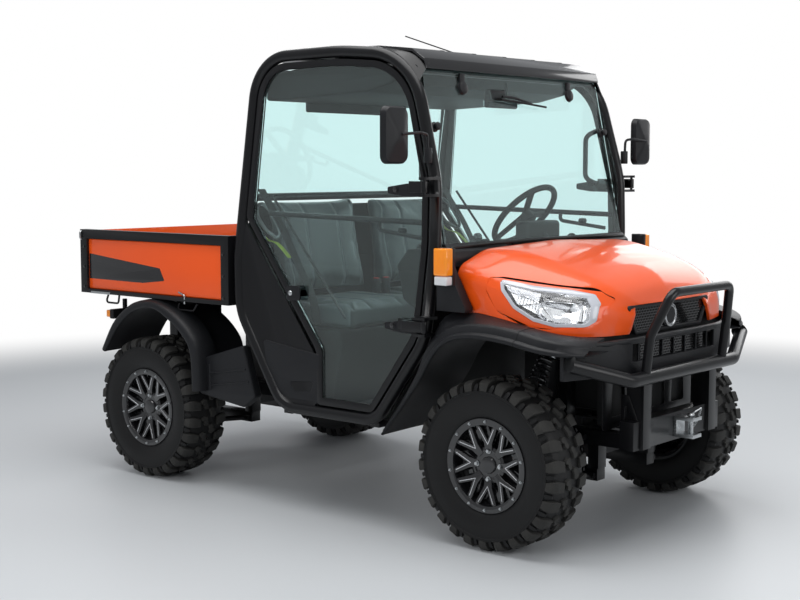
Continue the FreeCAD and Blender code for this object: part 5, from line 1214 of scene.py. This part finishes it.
dress("cowl", MOULDED, 0.005, [
    outer_bar(RUBBER, [(0.776, 0.0, 1.183), (0.776, 0.40, 1.180), (0.772, 0.66, 1.172)], 0.006)])
dress("front_fascia", MOULDED, 0.004, [
    outer_bar(MOULDED, [(1.421, 0.0, 0.822), (1.410, 0.36, 0.820), (1.385, 0.47, 0.818),
                        (1.330, 0.60, 0.816)], 0.012, 0.1),
    mesh_field((-0.262, 0.738), (0.262, 0.806), 1.4075, lambda spot: abs(spot.y) < 0.258),
    # a thin dark sheet behind the nose mesh: painted shade in place of the shadowed gap behind it
    block(CAB_PLASTIC, (1.340, -0.470, 0.700), (1.348, 0.470, 0.855), 0.002)])

PLUG = [(0.0, 0.012), (0.018, 0.011), (0.028, 0.008), (0.033, 0.002), (0.0335, -0.004), (0.0, -0.004)]
TOP_PLATE = [(1.352, -0.345, 0.01), (1.424, -0.345, 0.01), (1.424, 0.345, 0.01), (1.352, 0.345, 0.01)]
TOP_AT = 0.4735
BRACE = [(1.352, 0.476, 0.004), (1.428, 0.476, 0.004), (1.428, 0.50, 0.004), (1.385, 0.600, 0.01),
         (1.352, 0.600, 0.004)]
BRACE_HOLE = [(1.366, 0.492, 0.008), (1.408, 0.492, 0.008), (1.372, 0.572, 0.006)]
slots = [oval((1.392, y), 0.055, 0.015) for y in (-0.205, 0.0, 0.205)]
bumper_parts = [panel(TUBE_BLACK, [TOP_PLATE, *slots], 0.006, 0.0015, TOP_AT, "XY")]
bumper_parts += [panel(TUBE_BLACK, [BRACE, BRACE_HOLE], 0.006, 0.0015, y) for y in (-0.300, 0.300)]
for side in (-1, 1):
    way = Vector((1.358 - 1.466, side * (0.693 - 0.421), 0.766 - 0.677)).normalized()
    plug = turned(CAB_PLASTIC, PLUG, "Z", steps=36)
    bumper_parts.append(tilted(plug, way, Vector((1.3605, side * 0.690, 0.764))))
dress("front_bumper", TUBE_BLACK, 0.002, bumper_parts, 40)

GUARD = [(-0.36, 0.452, 0.02), (0.36, 0.452, 0.02), (0.36, 0.690, 0.02), (-0.36, 0.690, 0.02)]
WINDOW = ((-0.055, 0.50), (0.055, 0.50), (0.045, 0.64), (-0.045, 0.64))
windows = [[(y + across, up, 0.012) for across, up in WINDOW]
           for y in (-0.24, -0.08, 0.08, 0.24)]
front_guard = piece("front_guard", [
    panel(TUBE_BLACK, [GUARD, *windows], 0.005, 0.0012, 1.300, "YZ"),
    block(CAB_PLASTIC, (1.262, -0.34, 0.47), (1.288, 0.34, 0.688), 0.006),
    block(CAB_PLASTIC, (0.830, -0.235, 0.505), (1.255, 0.235, 0.860), 0.020)], "chassis")
print("guard", short(front_guard.dimensions))

# %% [markdown]
# The turn signal is an amber box on a clear one. Each lens is a rounded block with a row of fine
# upright flutes on its face.

# %% Turn signals
FLUTES = 9
SPLIT_Z = 1.070


def lens(look, low, high, side):
    """A rounded block whose outer face has fine upright flutes."""
    width = (high[0] - low[0]) * 0.8
    y = (high[1] if side > 0 else low[1]) - 0.0008 * side
    parts = [block(look, low, high, 0.006, 3)]
    for k in range(FLUTES):
        x = (low[0] + high[0]) / 2 + width * (k / (FLUTES - 1) - 0.5)
        parts.append(tube(look, [(x, y, low[2] + 0.009), (x, y, high[2] - 0.009)], 0.0022, sides=8))
    return parts


signals = []
for side in (-1, 1):
    near_y, far_y = sorted((0.728 * side, 0.781 * side))
    back = sorted((0.724 * side, 0.742 * side))
    signals += lens(AMBER, (0.780, near_y, SPLIT_Z), (0.846, far_y, 1.178), side)
    signals += lens(WHITE_LENS, (0.782, near_y + 0.002, 1.032), (0.844, far_y - 0.002, SPLIT_Z - 0.002),
                    side)
    signals.append(block(MOULDED, (0.779, back[0], 1.031), (0.847, back[1], 1.179), 0.003))
stand_for("signal_lamps", signals)

# %% [markdown]
# The tow clevis is bright zinc, with a headed pin through both jaws, a bent handle and a short chain
# that keeps the pin. The chain is one small link, turned over at every other place.

# %% Clevis, pin and chain
LINK_LENGTH, LINK_WIDTH, LINK_WIRE = 0.013, 0.008, 0.0012
CHAIN_LINKS = 13
CHAIN_SAG = 0.022
PIN_X = 1.4983
PIN_PROFILE = [(0.0, 0.400), (0.0095, 0.401), (0.0102, 0.404), (0.0102, 0.488), (0.0150, 0.489),
               (0.0158, 0.494), (0.0125, 0.499), (0.0, 0.500)]


def link_ring():
    """An oval chain link lying along Z."""
    half, bend = (LINK_LENGTH - LINK_WIDTH) / 2, LINK_WIDTH / 2
    path = []
    for angle in (2 * math.pi * k / 16 for k in range(16)):
        up = bend * math.cos(angle) + (half if math.cos(angle) >= 0 else -half)
        path.append(Vector((0, bend * math.sin(angle), up)))
    return swept(ZINC, path, circle(LINK_WIRE, 6), closed=True)


def chain(start, stop):
    spots = []
    for share in (k / CHAIN_LINKS for k in range(CHAIN_LINKS + 1)):
        drop = Vector((0, 0, 4 * CHAIN_SAG * share * (1 - share)))
        spots.append(Vector(start).lerp(Vector(stop), share) - drop)
    parts = []
    for k, (here, there) in enumerate(zip(spots, spots[1:])):
        link = link_ring()
        link.transform(Matrix.Rotation(math.pi / 2 * (k % 2), 4, "Z"))
        parts.append(tilted(link, there - here, (here + there) / 2))
    return parts


dress("tow_clevis", ZINC, 0.0015, [
    turned(ZINC, PIN_PROFILE, "Z", (PIN_X, 0, 0), 28),
    tube(ZINC, [(PIN_X, 0, 0.495), (PIN_X + 0.012, 0.012, 0.506), (PIN_X + 0.022, 0.044, 0.518)], 0.0032,
         0.012, sides=10),
    *chain((PIN_X + 0.022, 0.044, 0.517), (PIN_X - 0.03, 0.052, 0.430))])

# %% [markdown]
# ## The cab: roof, doors and mirrors
# The tinted panes kept their packed thickness, because real glass bends light on both of its faces.
# The roof is a gloss moulding with five long ribs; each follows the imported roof, found by casting
# rays down on it.

# %% Roof
DOWN = (0, 0, -1)
ABOVE = 3.0
RIB = [(-0.022, -0.004), (0.022, -0.004), (0.014, 0.0055), (-0.014, 0.0055)]
roof_low, roof_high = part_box("roof_panel")
roof_ribs = []
for y in (-0.44, -0.22, 0.0, 0.22, 0.44):
    starts = [(roof_low.x + 0.06 + (roof_high.x - roof_low.x - 0.14) * k / 24, y, ABOVE) for k in range(25)]
    spots = [surface("roof_panel", start, DOWN) for start in starts]
    roof_ribs.append(swept(GLOSS_BLACK, [s - Vector((0, 0, 0.003)) for s in spots if s], RIB))
dress("roof_panel", GLOSS_BLACK, 0.006, roof_ribs)
print("roof", short(roof_low), short(roof_high))

# %% [markdown]
# The hoops are bent tube and need no more than the frame's finish. Under the roof hangs a dark
# lining with a mirror on a short stem. The windshield hangs on two capped hinges and is clamped at
# the sides by two knobs; a wiper sweeps it from the top.

# %% Hoops, lining and windshield fittings
def flashing(side):
    """The strip that closes the gap between the roof's edge and the hoop."""
    rows = []
    for k in range(33):
        x = roof_low.x + 0.004 + (roof_high.x - roof_low.x - 0.008) * k / 32
        roof_spot = surface("roof_panel", (x, 0.620 * side, ABOVE), DOWN)
        hoop_spot = surface("cab_frame", (x, 0.700 * side, ABOVE), DOWN)
        if roof_spot is None or hoop_spot is None:
            continue
        low, high = hoop_spot - Vector((0, 0, 0.010)), roof_spot - Vector((0, 0, 0.004))
        rows.append([high, high.lerp(low, 0.3) + Vector((0, 0, 0.003)), high.lerp(low, 0.7), low])
    return tidied(modified(skin(TUBE_BLACK, rows), "SOLIDIFY", thickness=0.006, offset=0.0))


QUARTER = [(-0.226, 0.732, 0.012), (0.121, 0.693, 0.012), (0.114, 0.476, 0.02), (-0.041, 0.474, 0.03),
           (-0.148, 0.512, 0.03), (-0.201, 0.576, 0.03)]
QUARTER_HOLE = [(-0.062, 0.560, 0.008), (0.080, 0.572, 0.008), (0.066, 0.530, 0.012), (-0.030, 0.520, 0.012)]
quarters = both_sides([panel(MOULDED, [QUARTER, QUARTER_HOLE], 0.014, 0.005, -0.728, segments=3),
                       panel(CAB_PLASTIC, [QUARTER_HOLE], 0.004, 0.001, -0.724)])
dress("cab_frame", TUBE_BLACK, 0.0, [flashing(-1), flashing(1), *quarters])

LINING = [(-0.262, 1.900, 0.01), (-0.285, 1.787, 0.015), (-0.230, 1.787, 0.02), (0.300, 1.806, 0.05),
          (0.440, 1.835, 0.03), (0.545, 1.895, 0.01), (0.300, 1.925, 0.02), (0.0, 1.930, 0.02)]
headliner = piece("headliner", [
    panel(CAB_PLASTIC, [LINING], 1.290, 0.010, segments=3),
    block(CAB_PLASTIC, (-0.288, -0.39, 1.745), (-0.255, 0.30, 1.800), 0.008, 3),
    block(MOULDED, (0.520, -0.115, 1.752), (0.545, 0.115, 1.812), 0.010, 4),
    block(MIRROR_GLASS, (0.5165, -0.108, 1.758), (0.5215, 0.108, 1.806), 0.002),
    tube(MOULDED, [(0.540, 0, 1.79), (0.560, 0, 1.81), (0.560, 0, 1.86)], 0.008, 0.01, sides=12)],
    "chassis")

PANE_WAY = Vector((0.980, 0.0, 0.201))
CAP = [(0.0, 0.016), (0.020, 0.015), (0.026, 0.011), (0.027, 0.004), (0.030, 0.0), (0.0, 0.0)]
KNOB = [(0.0, 0.030), (0.013, 0.029), (0.017, 0.024), (0.015, 0.012), (0.021, 0.006), (0.021, 0.0),
        (0.0, 0.0)]
WIPER_ARM = [(0.652, -0.150, 1.795), (0.655, -0.060, 1.792), (0.658, 0.060, 1.770)]
WIPER_BLADE = [(0.653, -0.160, 1.783), (0.659, 0.000, 1.772), (0.660, 0.170, 1.760)]


def on_windshield(y, z, x):
    """A place on the windshield's outer face, or the given x where a ray misses."""
    return surface("windshield", (1.2, y, z + 0.10), (-1, 0, -0.205)) or Vector((x, y, z))


fittings = [tube(MOULDED, WIPER_ARM, 0.0055, 0.03, sides=10),
            tube(RUBBER, WIPER_BLADE, 0.0045, 0.03, sides=8),
            block(MOULDED, (0.585, -0.200, 1.775), (0.628, -0.090, 1.825), 0.010, 3)]
for side in (-1, 1):
    for y, z, profile in ((0.399, 1.838, CAP), (0.628, 1.665, KNOB)):
        at = on_windshield(y * side, z, 0.64)
        fittings.append(tilted(turned(MOULDED, profile, "Z", steps=28), PANE_WAY, at))
    at = on_windshield(0.399 * side, 1.87, 0.61)
    fittings.append(block_at(MOULDED, at, (-0.004, -0.017, -0.02), (0.008, 0.017, 0.030)))
GRAB = [(0.640, 0.625, 1.665), (0.585, 0.612, 1.640), (0.585, 0.612, 1.440), (0.640, 0.625, 1.415)]
fittings += both_sides([tube(MOULDED, GRAB, 0.0115, 0.04, sides=14)])
screen_fittings = piece("screen_fittings", fittings, "chassis")
print("fittings", short(screen_fittings.dimensions))

# %% [markdown]
# Each door is a welded ring of flat tube around one pane. Two bolts hold every hinge strap through
# the glass. Inside, a long bar and a short one are the pulls; the lock is a plate at the rear edge.

# %% Doors
INNER_Y = 0.672
DOOR_KNOB = [(0.0, 0.0), (0.017, 0.003), (0.021, 0.014), (0.017, 0.025), (0.0, 0.028)]
LOCK = [(-0.070, 0.915, 0.012), (0.010, 0.920, 0.012), (0.010, 0.985, 0.012), (-0.070, 0.980, 0.012)]
LOCK_BARREL = [(0.0, -0.749), (0.010, -0.748), (0.012, -0.742), (0.012, -0.736), (0.0, -0.736)]


def bolts(spots, way, radius, height):
    """Bolt heads at places, pointing along one direction."""
    return [tilted(bolt_head(GLOSS_BLACK, radius, height), way, Vector(spot), (0, -1, 0)) for spot in spots]


def outside_of(node, x, z, side):
    """The outer face of a packed door at a place, as a distance across."""
    spot = surface(node, (x, 1.2 * side, z), (0, -side, 0))
    return abs(spot.y) if spot is not None else None


for tag, side in (("right", -1), ("left", 1)):
    outer = [panel(MOULDED, [LOCK], 0.010, 0.003, -0.738),
             turned(ZINC, LOCK_BARREL, "Y", (-0.046, 0, 0.950), 20)]
    spots = []
    for z in (0.850, 1.404):
        out = outside_of("door_glass_" + tag, 0.5, z, side) or 0.72
        leaf = [(0.480, z - 0.016, 0.008), (0.480, z + 0.010, 0.008), (0.580, z + 0.024, 0.01),
                (0.715, z + 0.029, 0.004), (0.715, z - 0.029, 0.004), (0.560, z - 0.027, 0.02)]
        outer.append(panel(MOULDED, [leaf], 0.007, 0.0018, -out - 0.0045))
        spots += [(x, (out + 0.008) * side, z) for x in (0.525, 0.625)]
    inner = INNER_Y * side
    extra = [mesh if side < 0 else turned_over(mesh) for mesh in outer]
    extra += bolts(spots, (0, side, 0), 0.011, 0.008)
    extra += [tube(MOULDED, [(-0.235, inner, 1.290), (0.690, inner, 1.270)], 0.012, sides=14),
              tube(MOULDED, [(0.410, inner, 1.285), (0.405, inner, 1.235), (0.660, inner, 1.205)], 0.009,
                   0.02, sides=12),
              turned(MOULDED, DOOR_KNOB, "Z", (0.535, inner, 1.222), 24)]
    dress("door_frame_" + tag, TUBE_BLACK, 0.0018, extra, 45)
    print(tag, "door hardware", len(extra), "glass at", short([out]))

# %% [markdown]
# The mirror heads are deep shells: a rounded rim, then facets that run back to a boss where the arm
# holds them. The glass faces back, towards the driver. The arm is bent rod, clamped to the hoop.

# %% Mirrors
HEAD_AT = Vector((0.711, 0.924, 1.617))
HEAD_ROWS = ((-0.020, 0.0, 0.0), (-0.020, 0.066, 0.106), (-0.022, 0.069, 0.109), (-0.020, 0.071, 0.111),
             (-0.004, 0.070, 0.110), (0.006, 0.065, 0.104), (0.021, 0.034, 0.040), (0.026, 0.020, 0.022),
             (0.027, 0.0, 0.0))
ARM = [(0.722, 0.744, 1.520), (0.724, 0.748, 1.622), (0.734, 0.800, 1.628), (0.737, 0.920, 1.620)]
CLAMP = [(0.0, -0.03), (0.015, -0.03), (0.017, -0.026), (0.017, 0.026), (0.015, 0.03), (0.0, 0.03)]


def mirror():
    rows = []
    for x, half_y, half_z in HEAD_ROWS:
        bend = min(half_y, half_z) * 0.45
        corners = [(half_y * a, half_z * b, bend) for a, b in ((1, 1), (-1, 1), (-1, -1), (1, -1))]
        loop = round_loop(corners, 5) if half_y else [(0.0, 0.0)] * 24
        rows.append([HEAD_AT + Vector((x, y, z)) for y, z in loop])
    return [tidied(skin(MOULDED, rows, True)),
            block_at(MIRROR_GLASS, HEAD_AT, (-0.0225, -0.060, -0.099), (-0.0195, 0.060, 0.099), 0.001),
            tube(MOULDED, ARM, 0.006, 0.02, sides=12),
            turned(MOULDED, CLAMP, "Z", (0.722, 0.742, 1.540), 24)]


stand_for("mirrors", both_sides(mirror()))

# %% [markdown]
# ## Inside the cab
# The dashboard is one moulding with softly broken edges. In front of the wheel a hooded pod holds two
# dials; round vents, a row of rocker switches and the range lever fill the rest. Each is put where a
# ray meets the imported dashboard's rear face.

# %% Dashboard
BACK = (-1, 0, 0)
VENT = [(0.0, -0.004), (0.026, -0.004), (0.028, 0.006), (0.034, 0.009), (0.039, 0.006), (0.040, 0.0),
        (0.040, -0.006)]
DIAL = [(0.0, 0.002), (0.030, 0.002), (0.031, 0.004), (0.034, 0.006), (0.036, 0.004), (0.037, -0.002),
        (0.0, -0.002)]
TICK = (0.0004, 0.0012, 0.0012)
LEVER_KNOB = [(0.0, -0.022), (0.014, -0.020), (0.021, -0.006), (0.020, 0.010), (0.012, 0.020), (0.0, 0.022)]


def dash_at(y, z):
    """The dashboard's rear face at a place."""
    return surface("dashboard", (-0.2, y, z), (1, 0, 0)) or Vector((0.50, y, z))


dash_parts = []
for y in (-0.54, -0.12, 0.12, 0.58):
    at = dash_at(y, 1.14)
    dash_parts.append(tilted(turned(MOULDED, VENT, "Z", steps=36), BACK, at))
    dash_parts += [block_at(MOULDED, at, (-0.007, -0.025, z - 0.0015), (0.0, 0.025, z + 0.0015), 0.001)
                   for z in (-0.016, 0.0, 0.016)]
for k in range(5):
    at = dash_at(-0.07 + 0.035 * k, 1.045)
    dash_parts.append(block_at(RUBBER, at, (-0.007, -0.014, -0.020), (0.004, 0.014, 0.020)))
pod_at = dash_at(0.35, 1.19)
dash_parts.append(block_at(CAB_PLASTIC, pod_at, (-0.020, -0.135, -0.045), (0.060, 0.135, 0.055), 0.020, 4))
for shift in (-0.055, 0.055):
    at = pod_at + Vector((-0.0205, shift, 0.004))
    dash_parts.append(tilted(turned(GLOSS_BLACK, DIAL, "Z", steps=36), BACK, at))
    for k in range(11):
        angle = math.radians(225 - 27 * k)
        tick = at + Vector((-0.0025, -0.025 * math.cos(angle), 0.025 * math.sin(angle)))
        dash_parts.append(block_at(DIAL_WHITE, tick, [-half for half in TICK], TICK, 0))
dress("dashboard", CAB_PLASTIC, 0.014, dash_parts)

foot = dash_at(0.02, 0.99)
lever = [tube(ZINC, [foot, foot + Vector((-0.09, 0, 0.06)), foot + Vector((-0.12, 0, 0.17))], 0.007, 0.03,
              sides=12),
         tilted(turned(GLOSS_BLACK, LEVER_KNOB, "Z", steps=28), (-0.2, 0, 1),
                foot + Vector((-0.122, 0, 0.185)))]
for y in (0.30, 0.43):
    lever += [block(RUBBER, (0.462, y - 0.038, 0.545), (0.476, y + 0.038, 0.640), 0.006, 3),
              tube(TUBE_BLACK, [(0.474, y, 0.60), (0.53, y, 0.68), (0.58, y, 0.76)], 0.008, 0.02, sides=10)]
controls = piece("controls", lever, "chassis")
print("dash parts", len(dash_parts), "lever foot", short(foot))

# %% [markdown]
# ## Seats
# A seat pad is foam under vinyl. The foam pushes the cover out until the stitching stops it, so the
# pad is crowned between its seams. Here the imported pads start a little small, are remeshed evenly
# and blown up by a short cloth run; then the pleats are pressed in and piping follows the seams.

# %% Padded seats
PLEATS = (-0.105, 0.105)
SEAMS = (-0.225, 0.225)
SEAT_MIDDLE = 0.335
PLEAT_DEPTH, PLEAT_WIDTH = 0.008, 0.009
PUFF_FRAMES = 20
PUFF_MOST = 0.024


def puffed(mesh):
    """The mesh remeshed evenly and blown up like a cushion, no point further than PUFF_MOST."""
    even = modified(mesh, "REMESH", mode="VOXEL", voxel_size=0.013, use_smooth_shade=True)
    even = modified(even, "SMOOTH", factor=0.5, iterations=6)
    holder = placed("puff", even)
    cloth = holder.modifiers.new("cloth", "CLOTH")
    for key, value in (("use_pressure", True), ("uniform_pressure_force", 4.0), ("tension_stiffness", 12.0),
                       ("compression_stiffness", 12.0), ("bending_stiffness", 0.6), ("quality", 6)):
        setattr(cloth.settings, key, value)
    cloth.settings.effector_weights.gravity = 0.0
    cloth.point_cache.frame_end = PUFF_FRAMES
    scene = bpy.context.scene
    for step in range(1, PUFF_FRAMES + 1):
        scene.frame_set(step)
    result = baked(holder)
    for new, old in zip(result.vertices, even.vertices):
        move = new.co - old.co
        if move.length > PUFF_MOST:
            new.co = old.co + move.normalized() * PUFF_MOST
    scene.frame_set(1)
    return result


def pressed(mesh, face_way):
    """Pleats and a border seam pressed into the faces that look along one direction."""
    normals = [v.normal.copy() for v in mesh.vertices]
    for vert, normal in zip(mesh.vertices, normals):
        share = max(0.0, normal.dot(face_way) - 0.25) / 0.75
        across = abs(vert.co.y) - SEAT_MIDDLE
        groove = sum(strength * math.exp(-((across - place) / PLEAT_WIDTH) ** 2)
                     for strength, places in ((1.0, PLEATS), (1.3, SEAMS)) for place in places)
        vert.co -= normal * PLEAT_DEPTH * groove * share
    return mesh


def piping(mesh, lines, way):
    """Tubes laid on the pad along lines of ray starts."""
    tree = ray_tree(mesh)
    parts = []
    for line in lines:
        hits = [tree.ray_cast(Vector(start), Vector(way))[0] for start in line]
        spots = [spot for spot in hits if spot is not None]
        if len(spots) > 2:
            parts.append(swept(VINYL_EDGE, spots, circle(0.0034, 8)))
    return parts


def seat_lines(shifts, start, step):
    """Twenty steps of ray starts along each seam of both seats; start and step are (x, z)."""
    return [[(start[0] + step[0] * k, side * (SEAT_MIDDLE + shift), start[1] + step[1] * k)
             for k in range(21)] for side in (-1, 1) for shift in shifts]


def pad(node, face_way, lines, way):
    mesh = modified(solid_copy(VINYL, node, 0.018, 30, 3), "DISPLACE", strength=-0.012, mid_level=0.0)
    mesh = modified(puffed(mesh), "SUBSURF", levels=1, render_levels=1)
    mesh = painted(VINYL, pressed(mesh, Vector(face_way).normalized()))
    item = stand_for(node, [mesh, *piping(mesh, lines, way)], 60)
    return item


cushion_lines = seat_lines(SEAMS, (0.17, 1.0), (-0.02, 0.0))
back_lines = seat_lines(SEAMS + PLEATS, (0.2, 0.95), (0.0, 0.0185))
for seat in (pad("seat_cushions", (0, 0, 1), cushion_lines, DOWN),
             pad("seat_backs", (0.93, 0, 0.35), back_lines, BACK)):
    print(seat.name, len(seat.data.polygons), short(seat.dimensions))

# %% [markdown]
# Each seat has a three point belt: webbing from the pillar down over the outer shoulder, and a
# buckle with a red button on a short stalk between the seats. A grab loop and a check strap hang
# inside each door.

# %% Belts and small things by the seats
BELT_Y = -0.650
BELT = [(-0.313, 1.396), (-0.248, 1.313), (-0.174, 1.215), (-0.079, 1.058), (0.000, 0.930), (0.030, 0.810)]
TAG = [(-0.352, 1.226), (-0.286, 1.174), (-0.210, 1.154), (-0.135, 1.095)]
GRAB_LOOP = [(-0.345, 1.299), (-0.336, 1.327), (-0.305, 1.331), (-0.265, 1.305), (-0.209, 1.230),
             (-0.193, 1.192), (-0.220, 1.180), (-0.286, 1.213), (-0.335, 1.265)]


def strap(look, places, half_wide, half_thick):
    path = [Vector((x, BELT_Y, z)) for x, z in flowing(places, 6)]
    outline = [(half_wide * a, half_thick * b) for a, b in ((-1, -1), (1, -1), (1, 1), (-1, 1))]
    return swept(look, path, outline)


belts = [strap(WEBBING, BELT, 0.023, 0.0009), strap(TAG_GREEN, TAG, 0.012, 0.0008),
         tube(VINYL_EDGE, [(x, -0.648, z) for x, z in GRAB_LOOP], 0.008, 0.02, True, 12),
         tube(TUBE_BLACK, [(-0.230, -0.664, 1.371), (0.206, -0.664, 0.852)], 0.006, sides=12),
         block(MOULDED, (-0.182, -0.052, 0.885), (-0.152, -0.018, 0.965), 0.005, 3),
         tube(WEBBING, [(-0.175, -0.035, 0.80), (-0.168, -0.035, 0.89)], 0.009, sides=12),
         block(RED_BUTTON, (-0.178, -0.046, 0.961), (-0.156, -0.024, 0.968), 0.002)]
belt_set = piece("belt_set", both_sides(belts), "chassis")
print("belts", short(belt_set.dimensions))

# %% [markdown]
# ## Cargo bed
# The bed is folded black steel with orange panels let into its sides. A dark slanted stripe crosses
# the rear of each panel. Round tie-down loops hang from the lower rail, and a bar catches the
# tailgate at the upper corner.

# %% Bed, side panels and tailgate
STRIPE = [(-1.462, 1.066), (-0.925, 1.015, 0.004), (-0.892, 0.957, 0.004), (-1.053, 0.939), (-1.462, 0.941)]
UPPER_LATCH = [(-1.512, -0.724, 1.135), (-1.512, -0.752, 1.135), (-1.512, -0.752, 1.176),
               (-1.512, -0.724, 1.176)]
LOWER_LATCH = [(-0.785, -0.738, 0.910), (-0.735, -0.744, 0.896), (-0.745, -0.738, 0.858)]
TIE_DOWNS = ([(-1.333, 0.863), (-1.353, 0.826), (-1.255, 0.826), (-1.247, 0.868)],
             [(-0.796, 0.858), (-0.815, 0.826), (-0.700, 0.826), (-0.672, 0.861)])
dress("bed_side_panels", ORANGE, 0.007, both_sides([panel(GLOSS_BLACK, [STRIPE], 0.0016, 0.0004, -0.7336)]))

bed_parts = [tube(ZINC, points, 0.0045, 0.012, sides=10) for points in (UPPER_LATCH, LOWER_LATCH)]
bed_parts += [tube(TUBE_BLACK, [(x, -0.722, z) for x, z in places], 0.005, 0.015, sides=10)
              for places in TIE_DOWNS]
bed_parts.append(block(ZINC, (-1.440, -0.7475, 0.868), (-1.290, -0.7425, 0.880), 0.0015))
for x in (-1.49, -0.47):
    for z in (0.90, 1.00, 1.10):
        spot = surface("cargo_bed", (x, -1.2, z), (0, 1, 0))
        if spot is not None and spot.y < -0.70:
            bed_parts += bolts([spot], (0, -1, 0), 0.006, 0.004)
dress("cargo_bed", TUBE_BLACK, 0.004, both_sides(bed_parts))

gate_low, gate_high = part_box("tailgate")
gate_parts = []
for y0, y1 in ((-0.66, -0.24), (-0.20, 0.20), (0.24, 0.66)):
    z0, z1 = gate_low.z + 0.055, gate_high.z - 0.060
    stamping = [(y0, z0, 0.03), (y1, z0, 0.03), (y1, z1, 0.03), (y0, z1, 0.03)]
    gate_parts.append(panel(ORANGE, [stamping], 0.008, 0.0035, gate_low.x - 0.001, "YZ", 3))
dress("tailgate", ORANGE, 0.005, gate_parts)
print("tailgate", short(gate_low), short(gate_high))

# %% [markdown]
# Two tail lamps hang on brackets below the bed's rear corners: red with an amber corner. Behind the
# cab stands a narrow moulded box on each side, over the wheel liner.

# %% Tail lamps and boxes behind the cab
lamp_side = [block(AMBER, (-1.432, -0.662, 0.742), (-1.380, -0.602, 0.778), 0.006, 3),
             block(RED_LENS, (-1.432, -0.600, 0.742), (-1.380, -0.510, 0.778), 0.006, 3),
             block(MOULDED, (-1.398, -0.668, 0.736), (-1.366, -0.504, 0.784), 0.005),
             tube(TUBE_BLACK, [(-1.378, -0.585, 0.775), (-1.378, -0.585, 0.832)], 0.012, sides=12)]
tail_lamps = piece("tail_lamps", both_sides(lamp_side), BODY_OF["cargo_bed"])
box_side = [block(MOULDED, (-0.428, -0.700, 0.872), (-0.400, -0.560, 1.110), 0.008, 3)]
rear_boxes = piece("rear_boxes", both_sides(box_side), "chassis")
print("lamps", short(tail_lamps.dimensions))
